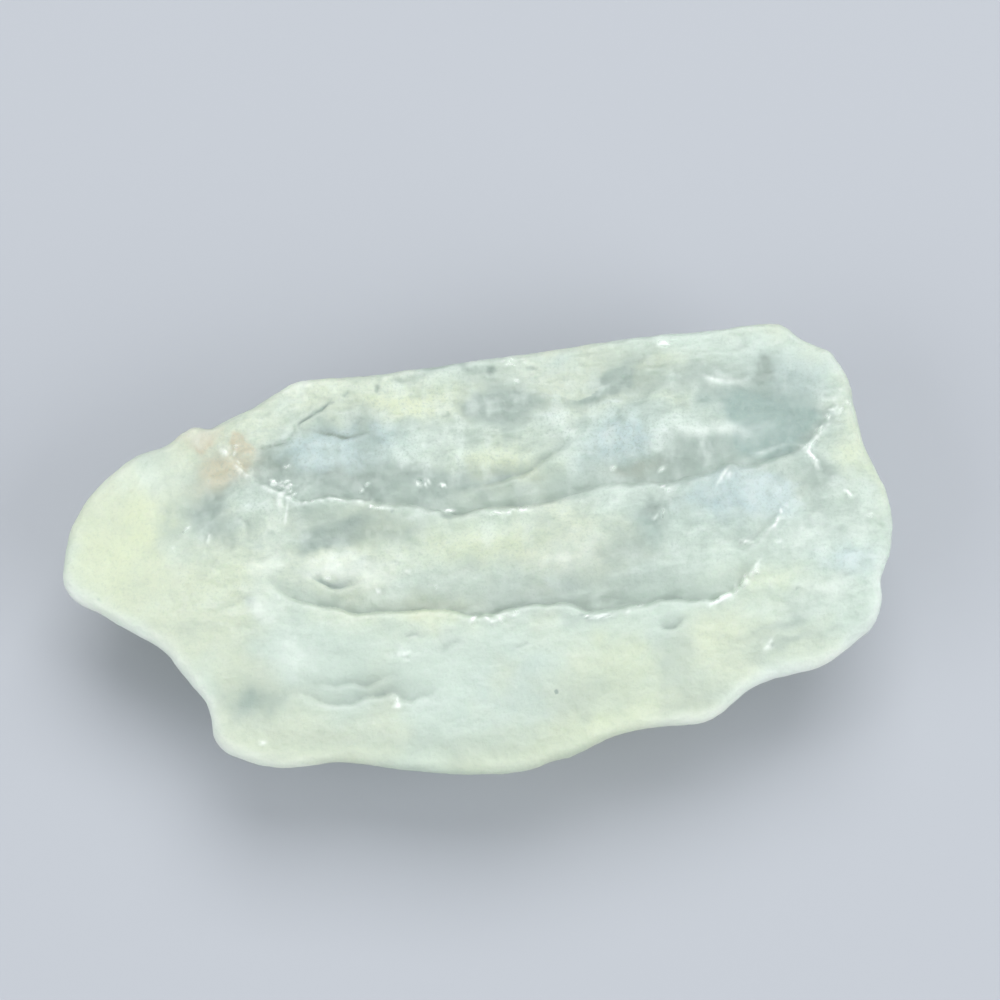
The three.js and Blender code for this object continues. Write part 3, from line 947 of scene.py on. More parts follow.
CRACKS = (
    # behind the left end of the long flute
    Crack(
        ((-14.3, 8.9), (-13.9, 9.3), (-13.2, 9.7), (-12.6, 10.2), (-12.0, 10.7), (-11.4, 11.0)),
        depth=0.3, width=0.13, shade=1.2,
    ),
    Crack(((-10.7, 11.4), (-10.5, 11.6), (-10.2, 11.8)), depth=0.25, width=0.16),
    Crack(
        (
            (-17.5, 6.9), (-16.8, 7.1), (-16.0, 7.3), (-15.3, 7.5), (-14.9, 7.9), (-14.6, 8.4),
            (-14.6, 8.9),
        ),
        step_down=0.25, shade=0.5,
    ),
    Crack(
        (
            (-14.2, 8.8), (-13.5, 8.6), (-12.8, 8.5), (-12.0, 8.3), (-11.1, 8.1), (-10.4, 7.9),
            (-9.9, 8.0), (-9.4, 8.2), (-8.8, 8.3), (-8.1, 8.4),
        ),
        depth=0.13, width=0.12, shade=0.8,
    ),
    Crack(
        ((-18.2, 9.7), (-17.5, 9.8), (-16.9, 9.8), (-16.4, 10.2), (-16.2, 10.5)),
        depth=0.1, width=0.3, shade=0.3,
    ),
    Crack(((-7.3, 12.8), (-6.5, 12.8), (-5.7, 12.8), (-4.7, 12.8)), depth=0.15, width=0.3, shade=0.5),
    Crack(((-8.0, 12.5), (-8.0, 12.1), (-8.1, 11.8)), shade=0.8),
    Crack(((-2.9, 9.9), (-2.6, 9.9), (-2.1, 10.1)), shade=0.9),
    # under the bulge
    Crack(
        (
            (-13.4, -2.9), (-12.9, -3.3), (-12.4, -3.6), (-11.7, -3.9), (-10.8, -4.1), (-9.8, -4.0),
            (-9.1, -3.6),
        ),
        depth=0.13, width=0.13, shade=0.9,
    ),
    # towards the blunt end
    Crack(((14.0, 7.3), (14.5, 7.6), (15.0, 8.2)), shade=0.6),
    Crack(((22.4, 13.1), (23.0, 13.7), (23.7, 14.1), (24.4, 14.9)), depth=0.15, width=0.4, shade=0.35),
    # before the front flute
    Crack(((-5.6, -8.0), (-5.0, -7.8), (-4.4, -7.9), (-3.8, -7.9)), shade=0.7),
    Crack(((-3.6, -9.0), (-2.7, -8.9), (-1.9, -8.5), (-1.1, -8.1)), depth=0.12, width=0.3, shade=0.35),
    Crack(((2.9, -8.8), (3.4, -8.6), (4.0, -8.4)), depth=0.1, width=0.17, shade=0.3),
    Crack(
        ((7.9, -6.3), (8.5, -6.5), (9.4, -6.6), (10.1, -6.4), (10.6, -6.2)),
        depth=0.12, width=0.1, shade=0.8,
    ),
    Crack(((10.2, -8.1), (10.6, -7.9), (11.0, -7.7)), depth=0.1, width=0.17, shade=0.2),
    # right end
    Crack(((28.1, -3.2), (28.7, -3.1), (29.2, -2.9), (29.8, -2.8)), depth=0.12, width=0.2, shade=0.5),
    Crack(((28.9, -3.9), (29.4, -4.0), (29.9, -3.9)), depth=0.08, width=0.17, shade=0.3),
    # between the flutes
    Crack(((-16.8, 0.2), (-16.3, 0.1), (-15.8, 0.1)), width=0.22, shade=0.7),
    Crack(((-18.9, 1.4), (-18.5, 1.3), (-18.0, 0.9), (-17.9, 0.2)), depth=0.12, shade=0.35),
    Crack(((-2.9, 1.7), (-2.3, 1.5), (-1.5, 1.6)), depth=0.35, width=0.2, shade=0.9),
    # along the back edge
    Crack(((0.7, 13.8), (1.0, 13.8), (1.4, 13.9)), depth=0.25, width=0.25, shade=0.9),
    Crack(((3.9, 13.9), (4.4, 13.9), (4.8, 13.8)), depth=0.15, width=0.16, shade=0.6),
)

CHIPS = (
    Chip(-15.0, 5.5, 0.3, 0.2),
    Chip(-9.1, 3.6, 0.2, 0.2),
    Chip(-8.7, 4.1, 0.25, 0.15),
    Chip(-4.6, 4.2, 0.35, 0.28, rise=-0.15),
    Chip(10.7, 5.3, 0.28, 0.2, turn=45),
    Chip(14.5, 5.1, 0.38, 0.25, turn=40),
    Chip(14.6, 3.7, 0.25, 0.14),
    Chip(15.0, 3.4, 0.25, 0.16),
    Chip(14.0, 1.2, 0.3, 0.15, turn=35, gloss=0.5),
    Chip(30.9, 1.7, 0.25, 0.2, frost_and_highlight=0.4),
    Chip(14.9, 16.0, 0.5, 0.35, rise=0.2, frost_and_highlight=1.0),
    Chip(3.1, 12.8, 0.22, 0.18),
    Chip(2.7, 14.8, 0.2, 0.16),
    Chip(-11.7, -3.5, 0.28, 0.16),
    Chip(-7.7, -4.6, 0.22, 0.18, gloss=0.6),
    Chip(-3.2, -4.1, 0.15, 0.15),
    Chip(-0.3, -6.6, 0.42, 0.13, turn=55, rise=0.18, frost_and_highlight=1.1),
    Chip(9.5, -6.2, 1.0, 0.28, turn=3, rise=-0.22, frost_and_highlight=0.6, gloss=0.3),
    Chip(9.5, -6.6, 0.75, 0.1, turn=3, rise=0.1, frost_and_highlight=0.5, gloss=0.3),
    Chip(12.7, -5.5, 0.3, 0.13, turn=20),
    Chip(11.8, -6.1, 0.14, 0.35, frost_and_highlight=0.8, gloss=0.3),
    Chip(18.9, -5.2, 0.85, 0.17, turn=28, rise=0.2, frost_and_highlight=1.4),
    Chip(19.3, 4.6, 0.95, 0.14, turn=56, rise=0.16, frost_and_highlight=1.4, gloss=0.5),
    Chip(21.1, -0.5, 0.5, 0.16, rise=0.15, frost_and_highlight=1.1, gloss=0.5),
    Chip(-22.9, 0.5, 0.45, 0.14, turn=40),
    Chip(-23.9, -0.8, 0.18, 0.12, gloss=0.5),
    Chip(-21.1, -0.2, 0.14, 0.38, gloss=0.4),
    Chip(-5.7, -9.3, 0.5, 0.36, rise=0.1, frost_and_highlight=0.5, gloss=0.1),
    Chip(-5.5, -9.6, 0.3, 0.2, rise=-0.16, frost_and_highlight=0.4, gloss=0.3, shade=0.4),
    Chip(-6.2, -12.8, 0.2, 0.45, turn=20, rise=0.15, frost_and_highlight=1.2, gloss=0.5),
    Chip(-6.2, -13.3, 0.3, 0.2, frost_and_highlight=0.9, gloss=0.3),
    Chip(-16.6, -16.1, 0.35, 0.22, gloss=0.4),
    Chip(22.7, -8.6, 0.3, 0.55, turn=-35, rise=0.1, frost_and_highlight=0.7, gloss=0.2),
    Chip(23.0, -8.6, 0.2, 0.2, rise=-0.15, frost_and_highlight=0.3, gloss=0.2, shade=0.6),
    Chip(23.6, -0.6, 0.28, 0.2, gloss=0.5),
    Chip(24.0, -1.0, 0.22, 0.15, gloss=0.4),
    Chip(-2.2, 2.0, 0.5, 0.13, rise=0.14, frost_and_highlight=1.2),
    Chip(-6.7, 1.8, 0.2, 0.13, rise=-0.15, frost_and_highlight=0.2, gloss=0.2, shade=0.9),
    Chip(6.2, -12.2, 0.13, 0.13, rise=-0.1, frost_and_highlight=0.0, gloss=0.0, shade=2.0),
    Chip(25.0, -4.2, 0.12, 0.12, rise=-0.1, frost_and_highlight=0.0, gloss=0.0, shade=1.0),
    Chip(-29.8, -4.6, 0.12, 0.12, rise=-0.08, frost_and_highlight=0.0, gloss=0.0, shade=0.6),
    Chip(-5.4, -2.8, 0.3, 0.22, rise=-0.1, gloss=0.2),
    Chip(-6.4, -2.3, 0.45, 0.12, rise=-0.08, frost_and_highlight=0.2, gloss=0.0, shade=0.4),
)

BRUISES = (
    Bruises((-16.1, 4.2), (-14.8, 3.8), count=7, seed=3),
    Bruises((-14.6, 3.8), (-15.0, 1.2), count=7, seed=4, frost_and_highlight=0.5, spread=0.12),
    Bruises((-14.1, 2.2), (-10.3, 2.7), count=9, seed=5, frost_and_highlight=0.4, spread=0.2),
    Bruises((-8.5, 2.3), (-6.6, 2.0), count=7, seed=17, frost_and_highlight=0.6, spread=0.12),
    Bruises((-20.5, 8.0), (-18.2, 4.8), count=10, seed=6, size=0.18, frost_and_highlight=0.4),
    Bruises((-19.3, 7.6), (-18.9, 6.9), count=4, seed=19, size=0.17, frost_and_highlight=0.35),
    Bruises((-4.9, 4.5), (-2.4, 3.9), count=8, seed=7, spread=0.3, size=0.17),
    Bruises((28.1, 10.4), (29.1, 11.5), count=9, seed=8, spread=0.4, size=0.28),
    Bruises((28.2, 10.1), (26.7, 7.8), count=8, seed=9, frost_and_highlight=0.5, spread=0.15),
    Bruises((1.0, -6.5), (3.4, -6.5), count=11, seed=10, spread=0.28, frost_and_highlight=0.8),
    Bruises((29.0, 3.6), (29.9, 3.0), count=5, seed=11, spread=0.15),
    Bruises((8.4, -6.3), (10.2, -6.4), count=6, seed=21, spread=0.07, size=0.14, frost_and_highlight=0.45),
    Bruises((1.1, 1.5), (4.2, 2.1), count=10, seed=12, spread=0.15, frost_and_highlight=0.6),
    Bruises((26.0, 7.3), (26.9, 5.8), count=9, seed=13, frost_and_highlight=0.6, spread=0.18),
    Bruises((19.9, -4.7), (21.9, -2.7), count=8, seed=14, frost_and_highlight=0.4, spread=0.12),
    Bruises((23.1, 0.3), (24.1, 2.3), count=6, seed=15, frost_and_highlight=0.5, spread=0.1),
    Bruises((2.0, 14.2), (4.2, 14.3), count=8, seed=16, spread=0.4, frost_and_highlight=0.4),
    Bruises((14.7, 2.1), (14.0, 0.8), count=4, seed=18, spread=0.25, frost_and_highlight=0.3),
)

RIPPLES = (
    Ripple(long=7.0, wide=2.6, height=0.28, turn=8, seed=2.3),
    Ripple(long=3.0, wide=1.3, height=0.15, turn=22, seed=5.7),
    Ripple(long=1.2, wide=0.7, height=0.09, turn=10, seed=8.1),
)

SWELLS = (
    Swell(-3.1, 9.1, 12, 3.2, rise=-0.45, turn=4),  # trough behind the long flute
    Swell(14.0, 9.6, 10, 3.5, rise=-0.25, turn=6),
    Swell(24.1, 9.9, 4, 3.4, rise=-0.6),  # basin at the blunt end
    Swell(-11.7, 6.1, 4.5, 1.9, rise=-0.35),
    Swell(-14.2, 3.0, 8, 9, rise=0.5),
    Swell(1.9, 1.0, 6, 13, rise=-0.5),
    Swell(15.0, 5.1, 7, 8, rise=0.5, turn=10),
    Swell(-11.2, 0.0, 3.4, 1.6, rise=-0.35),
    Swell(-21.5, 2.4, 2.2, 2.8, rise=-0.35),
    Swell(-17.5, -13.2, 2.0, 1.4, rise=-0.4),
    Swell(-11.5, -3.1, 2.2, 0.9, rise=0.22),
    Swell(20.1, 2.4, 3.5, 2.2, rise=0.2),
    Swell(22.9, -6.6, 4.5, 1.0, rise=-0.2, turn=22),
    Swell(15.3, -6.5, 1.3, 0.9, rise=0.2),
    Swell(21.0, -2.7, 2.6, 1.6, rise=0.3, turn=25),
    Swell(29.5, 1.0, 2.4, 1.8, rise=-0.25),
    Swell(-18.9, 9.4, 3.6, 1.4, rise=0.3, turn=35),
)

# A row is a patch's x, y, half length, half width and strength, then its turn in degrees, if it has one.
PATCH_ROWS = {
    # where the glass is most clouded
    Tint.CLOUD: (
        (-4.1, 8.8, 13, 5, 1.0, 4), (18.1, 8.8, 12, 6, 1.0, 8), (1.9, -1.3, 24, 4, 0.5, 4),
        (-18.2, 2.7, 5, 5, 0.6), (28.1, 0.5, 5, 8, 0.5),
    ),
    # clearer, bluish glass
    Tint.CLEAR: (
        (-12.2, 6.4, 3.6, 1.6, 1.68, -5), (11.0, 7.7, 3.0, 2.0, 1.26, 30), (17.5, 2.6, 2.8, 1.7, 0.27),
        (21.3, 3.5, 3.3, 2.0, 1.7), (24.7, 12.7, 3.1, 2.4, 0.69), (28.9, -1.6, 1.7, 1.3, 1.13),
        (-9.3, 8.4, 3.0, 1.0, 1.14, -5), (3.4, -12.8, 3.5, 2.5, 0.55, 30), (6.6, 14.2, 2.4, 1.2, 0.5),
        (17.0, 2.4, 1.7, 1.0, 0.4),
    ),
    # sea-green depths
    Tint.SEA: (
        (22.5, 8.7, 3.0, 2.5, 1.34), (13.6, 0.5, 1.4, 1.6, 0.53), (5.0, -3.2, 2.6, 1.0, 0.17),
        (20.6, 10.8, 2.4, 1.2, 0.64), (24.6, 9.9, 2.0, 1.6, 1.16), (21.8, 8.1, 1.5, 0.8, 0.55),
        (8.5, -3.4, 4.6, 1.3, 0.22, 4), (-16.9, -12.9, 1.8, 1.1, 0.35),
    ),
    # painted shade in hollows and under ledges, with some greyer glass
    Tint.SHADE: (
        (-3.7, 4.3, 9.5, 1.5, 0.8, 1), (-10.0, 4.2, 4.5, 0.9, 0.6, 1), (-11.2, 8.3, 3.3, 0.45, 0.21, -8),
        (0.9, 12.7, 2.6, 1.2, 0.62), (11.2, 13.3, 2.8, 0.8, 1.08, 32), (23.4, 14.2, 1.1, 0.7, 1.0, 45),
        (23.4, -6.9, 3.4, 0.6, 0.55, 25), (17.0, 13.2, 6.5, 1.3, 0.76, 4), (20.4, 11.3, 2.2, 0.9, 0.76),
        (3.0, 10.9, 3.6, 1.2, 0.77, 5), (-9.3, 9.7, 3.4, 1.3, 0.68), (-12.2, -0.8, 2.0, 0.8, 0.75),
        (-6.0, 0.0, 3.0, 1.2, 0.64), (14.4, 1.9, 0.9, 1.7, 1.09), (12.0, -1.3, 3.6, 1.3, 0.54, -8),
        (27.3, 5.0, 2.2, 1.2, 0.72, -15), (-19.8, 0.6, 1.0, 2.2, 0.27), (-10.8, 0.6, 3.0, 1.4, 0.77),
        (-21.5, 2.0, 2.3, 2.8, 0.86), (-17.2, -12.9, 2.6, 1.8, 0.81, 15), (23.8, 10.0, 4.0, 2.9, 0.87),
        (13.6, 5.3, 2.2, 1.0, 0.99), (19.0, 7.5, 5.0, 1.3, 0.72, 12), (-16.1, 5.9, 1.0, 1.2, 1.06),
        (-9.1, -12.3, 4.1, 1.2, 0.36), (2.1, 11.2, 3.3, 1.6, 0.16), (-8.4, 1.5, 3.4, 0.5, 0.4),
        (-17.6, -9.9, 2.2, 1.8, 0.15), (15.4, -10.0, 1.5, 2.6, 0.33), (11.6, 14.9, 2.6, 0.7, 0.36, 5),
        (31.0, 3.5, 0.8, 1.9, 0.19), (1.8, 9.7, 3.2, 1.2, 0.71), (-15.1, 5.5, 1.6, 1.2, 0.27, 60),
        (12.8, 0.2, 1.8, 1.2, 0.38, 40), (15.6, 5.5, 1.5, 0.8, 0.69, 10),
        (-8.9, -2.8, 1.2, 0.6, 0.56, 10), (-13.4, -3.0, 0.8, 0.6, 0.31), (-17.2, -5.4, 1.2, 1.0, 0.7),
        (-19.3, 4.9, 1.3, 0.7, 1.01, 30), (5.6, 8.2, 1.3, 1.0, 0.21, 30),
        (-0.5, -16.5, 9.0, 1.4, 0.39, -2), (8.8, -12.8, 4.5, 1.8, 0.41, 25),
        (-12.1, -15.7, 5.0, 1.3, 0.26), (17.4, -12.8, 3.0, 1.6, 0.42, 20),
        (24.1, -8.2, 3.0, 0.7, 0.6, 20), (-3.0, 14.0, 4.0, 0.6, 0.69, 5), (-7.2, 6.0, 1.8, 0.7, 0.46),
        (-20.1, 4.0, 2.2, 0.7, 0.44, 30), (-13.6, 0.2, 1.2, 0.8, 0.34), (27.0, 2.2, 1.5, 1.5, 0.5),
        (-0.6, 11.2, 2.4, 0.7, 0.56), (17.6, 6.7, 1.1, 0.8, 0.4), (9.1, -6.5, 1.7, 0.4, 0.5),
    ),
    # thick greenish-yellow glass
    Tint.WARM: (
        (-5.0, 10.6, 5.8, 1.4, 1.7, 5), (-28.0, -1.3, 4.3, 4.1, 0.75), (0.6, -0.9, 7.0, 1.7, 0.8),
        (15.4, 11.5, 2.1, 0.9, 0.49), (19.1, -7.9, 4.0, 1.4, 0.32, 20), (6.5, -15.9, 10.7, 1.9, 0.69, 10),
        (31.2, 5.5, 1.0, 3.9, 0.46, 20), (-19.8, -3.2, 3.3, 2.4, 0.55), (-13.0, -16.1, 5.0, 1.6, 0.15),
        (-25.8, 1.9, 2.8, 2.4, 0.95, 60), (1.8, 5.2, 4.0, 2.2, 1.09, 10), (11.2, -10.6, 2.6, 2.6, 0.85),
        (22.9, -3.6, 3.5, 1.4, 0.57), (-3.6, -6.0, 4.5, 1.4, 0.85), (29.6, 7.9, 1.4, 3.0, 0.59),
        (13.8, 14.1, 3.4, 1.2, 0.84, 5), (-8.3, 0.6, 2.5, 1.2, 0.88),
    ),
    # iron stain
    Tint.STAIN: (
        (-23.2, 8.5, 2.0, 0.9, 0.3, 28), (-19.9, 5.2, 2.5, 1.1, 1.17, 20),
        (-18.7, 7.4, 0.7, 0.5, 0.96, -30), (12.0, 5.2, 2.2, 0.7, 0.22), (-21.5, 7.5, 1.0, 0.8, 1.1),
        (-21.9, 8.0, 1.1, 0.8, 0.8, -25), (-18.5, 7.1, 0.8, 0.4, 1.66, -35),
    ),
    # milky glass, and painted highlight where swells and edges face the light
    Tint.FROST_AND_HIGHLIGHT: (
        (27.0, -4.1, 1.8, 0.8, 0.48), (-16.3, -2.3, 1.4, 2.4, 0.35), (-7.8, -3.3, 1.3, 1.3, 0.3),
        (-11.2, -2.9, 2.5, 0.9, 0.55), (-16.6, -6.0, 1.7, 1.0, 0.37), (20.3, 8.8, 2.4, 0.7, 0.54),
        (18.1, 8.5, 2.0, 0.6, 0.36), (6.9, -1.4, 2.2, 1.2, 0.41), (26.2, 0.4, 2.2, 1.1, 0.23),
        (19.4, 12.9, 1.5, 0.5, 0.32), (20.7, 16.3, 1.6, 0.8, 0.2), (-14.1, 11.8, 1.0, 1.2, 0.42),
        (11.9, 2.8, 1.5, 0.8, 0.32, 20), (30.4, 1.3, 1.1, 1.2, 0.35), (29.3, -1.7, 1.4, 0.9, 0.37),
        (-11.2, 6.3, 1.6, 1.3, 0.22), (25.1, -0.4, 1.0, 1.4, 0.37), (-7.1, -4.5, 1.6, 0.6, 0.29),
        (-2.9, 8.2, 1.2, 0.8, 0.38), (-22.9, -1.9, 2.6, 1.8, 0.16), (-25.5, 4.8, 1.6, 2.2, 0.24, 30),
        (-14.5, -9.4, 1.8, 1.6, 0.38), (9.7, 7.6, 1.8, 1.0, 0.26, 30), (22.3, 3.7, 2.3, 1.7, 0.28),
        (-22.1, 8.3, 1.0, 0.6, 0.35, -25),
    ),
}

PATCHES = tuple(Patch(tint, *row) for tint, rows in PATCH_ROWS.items() for row in rows)

FLANK_HOLLOWS = (
    FlankHollow(-27, 8.5, 4.5, reach=6, depth=0.7),
    FlankHollow(-14, 14.5, 4, reach=7, depth=1.1),
    FlankHollow(-3, 16, 5.5, reach=5, depth=0.6),
    FlankHollow(7, 17.5, 3.5, reach=8, depth=1.3),
    FlankHollow(19, 19, 5, reach=6, depth=0.9),
    FlankHollow(31, 14.5, 3.5, reach=6, depth=0.9),
    FlankHollow(34, 3, 3, reach=7, depth=1.1),
    FlankHollow(28, -10, 2.5, reach=6, depth=0.8),
    FlankHollow(17, -15, 2.2, reach=6, depth=0.8),
    FlankHollow(3, -18.5, 2, reach=7, depth=0.8),
    FlankHollow(-11, -18.5, 2, reach=6, depth=0.7),
    FlankHollow(-24, -11, 3, reach=6, depth=0.8),
    FlankHollow(-33, -3, 3.5, reach=5, depth=0.6),
)


# ---------------------------------------------------------------------------------------------
# The lump's form and its mesh
# ---------------------------------------------------------------------------------------------


@dataclass
class LumpForm:
    """The shape of the lump: how high its top and its belly are at any place inside the rim.

    A fall is how much lower the crown gets over the stretch named with it, and a lift how much higher
    the belly stays there. The stretches front, back, lobe and nose are measured from the part's origin
    towards that side. A roll is how far in from the rim a rounded edge reaches, and a blend how far in
    the rim's own waves are felt.
    """

    crown_height: float = 14.6
    summit_x: float = 3.0
    crown_end: float = 33.0
    crown_end_fall: float = 1.3
    front_fall: float = 3.0
    front: Span = (-3.0, 19.0)
    back_fall: float = 1.0
    back: Span = (6.0, 20.0)
    lobe_fall: float = 1.2
    lobe: Span = (18.0, 31.0)
    nose: Span = (22.0, 32.0)
    top_roll: float = 0.9
    top_squareness: float = 2.2
    belly_roll: float = 10.3
    belly_lip_roll: float = 2.6
    belly_lip_share: float = 0.24
    wave_blend: float = 2.4
    rim_blend: float = 1.6
    lobe_lift: float = 2.8
    nose_lift: float = 1.6
    rim_steps: int = 6

    def __post_init__(self) -> None:
        """Draw the rim."""
        self.rim = Polyline(RIM, True, self.rim_steps)

    def soft_rim(self, x: Array, y: Array) -> tuple[Array, Array]:
        """Measure the distance in from the rim and the rim's height, averaged over a stretch of it.

        Args:
            x: The points' x.
            y: Their y.

        Returns:
            Distances and heights in which the rim's short waves fade inwards.
        """
        total = np.zeros(x.shape)
        heights = np.zeros(x.shape)
        for a, b in zip(self.rim.points[:-1], self.rim.points[1:]):
            distance = np.hypot(x - (a[0] + b[0]) / 2, y - (a[1] + b[1]) / 2)
            weight = np.exp(-distance / self.wave_blend) * math.hypot(b[0] - a[0], b[1] - a[1])
            total += weight
            heights += weight * (a[2] + b[2]) / 2
        return -self.wave_blend * np.log(total / (2 * self.wave_blend)), heights / total

    def crown_level(self, x: Array, y: Array) -> Array:
        """Give the level of the worn crown, as if it had no edges.

        Args:
            x: The points' x.
            y: Their y.

        Returns:
            Heights.
        """
        from_summit = (x - self.summit_x) / self.crown_end
        level = self.crown_height - self.crown_end_fall * from_summit**2
        level = level - self.front_fall * smoothstep(*self.front, -y)
        level = level - self.back_fall * smoothstep(*self.back, y)
        return level - self.lobe_fall * smoothstep(*self.lobe, -x)

    def top_height(self, sheet: Sheet) -> Array:
        """Give the height of the top: from the rim over its shoulder to the crown.

        Args:
            sheet: The skin, with what the features have done to it.

        Returns:
            Heights.
        """
        level = self.crown_level(sheet.x, sheet.y) + sheet.rise
        place = self.rim.nearest(sheet.x, sheet.y)
        _, averaged = self.soft_rim(sheet.x, sheet.y)
        rim_height = self._true_at_rim(place, averaged)
        profile = shoulder(place.distance, self.top_roll, self.top_squareness)
        return rim_height + (level - rim_height) * profile

    def belly_height(self, x: Array, y: Array) -> Array:
        """Give the height of the belly: from the rim down to the flat facet at 0.

        Args:
            x: The points' x.
            y: Their y.

        Returns:
            Heights.
        """
        floor = self.lobe_lift * smoothstep(*self.lobe, -x) + self.nose_lift * smoothstep(*self.nose, x)
        place = self.rim.nearest(x, y)
        inset, averaged = self.soft_rim(x, y)
        rim_height = self._true_at_rim(place, averaged)
        lip = shoulder(place.distance, self.belly_lip_roll)
        broad = shoulder(inset, self.belly_roll) * lip
        profile = broad + (lip - broad) * self.belly_lip_share
        return rim_height + (floor - rim_height) * profile

    def _true_at_rim(self, place: Nearest, averaged: Array) -> Array:
        """Lead from the rim's own height at the rim to the averaged one inside.

        Args:
            place: The nearest places on the rim.
            averaged: The rim's averaged height.

        Returns:
            Heights.
        """
        return averaged + (place.height - averaged) * fading(place.distance, self.rim_blend)


@dataclass
class Skin:
    """The lump's skin: its points, its faces as rows of point numbers, and its tints."""

    points: Array
    quads: Array
    triangles: Array
    tints: dict[Tint, Array]

    def normals(self) -> Array:
        """Work out the outward direction at each point.

        Returns:
            Directions of length 1.
        """
        corners = np.concatenate([self.quads[:, [0, 1, 2]], self.quads[:, [0, 2, 3]], self.triangles])
        a, b, c = (self.points[corners[:, i]] for i in range(3))
        face = np.cross(b - a, c - a)
        normals = np.zeros(self.points.shape)
        for i in range(3):
            np.add.at(normals, corners[:, i], face)
        return normals / np.maximum(np.linalg.norm(normals, axis=1), TINY)[:, None]


@dataclass
class LumpMesh:
    """The closed skin over the form: a bent square grid on top, rings that get coarser underneath.

    The relax values even out the grid's cells near the rim, and the gather values draw its rows closer
    together along the first flutes. The painted rim light values paint a pale band along the rim, a painted
    glow of the thin edge that grows towards its front corners, and the under values fade the patches' tints
    underneath.
    """

    form: LumpForm
    cells_long: int = 366
    cells_wide: int = 222
    centre: Point = (-3.0, -3.0)
    grid_turn: float = 20.0
    rim_crowding: float = 1.12
    relaxed_band: Span = (0.7, 0.95)
    relax_steps: int = 3
    gathered_flutes: int = 2
    gather_share: float = 0.5
    gather_reach: float = 1.3
    gather_before: float = 0.5
    gather_full: float = 2.5
    ring_step: float = 0.45
    coarsest_ring: int = 147
    painted_rim_light: float = 0.55
    painted_rim_light_width: float = 0.7
    painted_rim_light_front: Span = (0.0, 5.0)
    painted_rim_light_ends: Span = (8.0, 20.0)
    under_share: float = 0.35
    under_start: float = 1.8

    def build(self) -> Skin:
        """Make the skin.

        Returns:
            The skin, its faces turned outwards.
        """
        grid = self._top_places()
        sheet = Sheet(grid[:, 0], grid[:, 1])
        for feature in (*SWELLS, *RIPPLES, *FLUTES, *CRACKS, *CHIPS, *BRUISES):
            feature.mark(sheet)
        edge = self._edge_numbers()
        is_edge = np.zeros(len(grid), dtype=bool)
        is_edge[edge] = True
        rim_place = self.form.rim.nearest(sheet.x, sheet.y)
        height = np.where(is_edge, rim_place.height, self.form.top_height(sheet))
        points, triangles, belly_quads = self._belly(np.column_stack([grid, height]), edge)
        quads = np.concatenate([self._top_quads(), belly_quads])
        return Skin(points, quads, triangles, self._tints(points, sheet))

    def _tints(self, points: Array, sheet: Sheet) -> dict[Tint, Array]:
        """Put the patches' tints, the features' tints and the painted light along the rim together.

        Args:
            points: All points, the top's first.
            sheet: The top, marked by the features.

        Returns:
            The tints at all points.
        """
        whole = Sheet(points[:, 0], points[:, 1])
        for patch in PATCHES:
            patch.mark(whole)
        from_rim = self.form.rim.nearest(whole.x, whole.y).distance
        underneath = np.arange(len(points)) >= len(sheet.x)
        fade = 1 - (1 - self.under_share) * smoothstep(0, self.under_start, from_rim) * underneath
        for tint, values in sheet.tints.items():
            if tint not in (Tint.CLOUD, Tint.WARM):
                whole.tints[tint] *= fade
            whole.tints[tint][: len(values)] += values
        # painted light: a pale band along the rim, a painted glow of the thin edge, stronger towards the
        # front corners
        frost_and_highlight = self.painted_rim_light * fading(from_rim, self.painted_rim_light_width)
        frost_and_highlight *= smoothstep(*self.painted_rim_light_front, -whole.y)
        frost_and_highlight *= smoothstep(*self.painted_rim_light_ends, np.abs(whole.x))
        whole.tints[Tint.FROST_AND_HIGHLIGHT] += frost_and_highlight
        return whole.tints

    def _top_places(self) -> Array:
        """Bend a square grid into a disc and stretch it out to the rim.

        Returns:
            The grid's places, x and y.
        """
        columns = np.linspace(-1, 1, self.cells_long + 1)
        rows = np.linspace(-1, 1, self.cells_wide + 1)
        u, v = np.meshgrid(columns, rows, indexing="ij")
        disc_x = (u * np.sqrt(1 - v * v / 2)).ravel()
        disc_y = (v * np.sqrt(1 - u * u / 2)).ravel()
        radius = np.clip(np.hypot(disc_x, disc_y), 0, 1)
        reach = 1 - (1 - radius) ** self.rim_crowding
        rim = self._rim_at(np.arctan2(disc_y, disc_x) + math.radians(self.grid_turn))
        places = self.centre + reach[:, None] * (rim - self.centre)
        places = self._relaxed(places, smoothstep(*self.relaxed_band, radius))
        for flute in FLUTES[: self.gathered_flutes]:
            self._gather(places, np.array(flute.points))
        return places

    def _relaxed(self, places: Array, share: Array) -> Array:
        """Even out the grid's cells near the rim.

        Args:
            places: The grid's places.
            share: How far each place may follow its neighbours; those on the rim stay.

        Returns:
            The evened places.
        """
        grid = places.reshape(self.cells_long + 1, self.cells_wide + 1, 2).copy()
        share = share.reshape(grid.shape[:2])[1:-1, 1:-1, None]
        for _ in range(self.relax_steps):
            around = (grid[:-2, 1:-1] + grid[2:, 1:-1] + grid[1:-1, :-2] + grid[1:-1, 2:]) / 4
            grid[1:-1, 1:-1] += share * (around - grid[1:-1, 1:-1])
        return grid.reshape(-1, 2)

    def _gather(self, places: Array, line: Array) -> None:
        """Draw the grid's rows closer together along a line.

        Args:
            places: The grid's places, changed in place.
            line: The line's points.
        """
        x = places[:, 0]
        from_line = places[:, 1] - np.interp(x, line[:, 0], line[:, 1])
        start, end = line[0, 0], line[-1, 0]
        inside = smoothstep(start - self.gather_before, start + self.gather_full, x)
        inside = inside * smoothstep(-end - self.gather_before, -end + self.gather_full, -x)
        places[:, 1] -= from_line * self.gather_share * inside * fading(from_line, self.gather_reach)

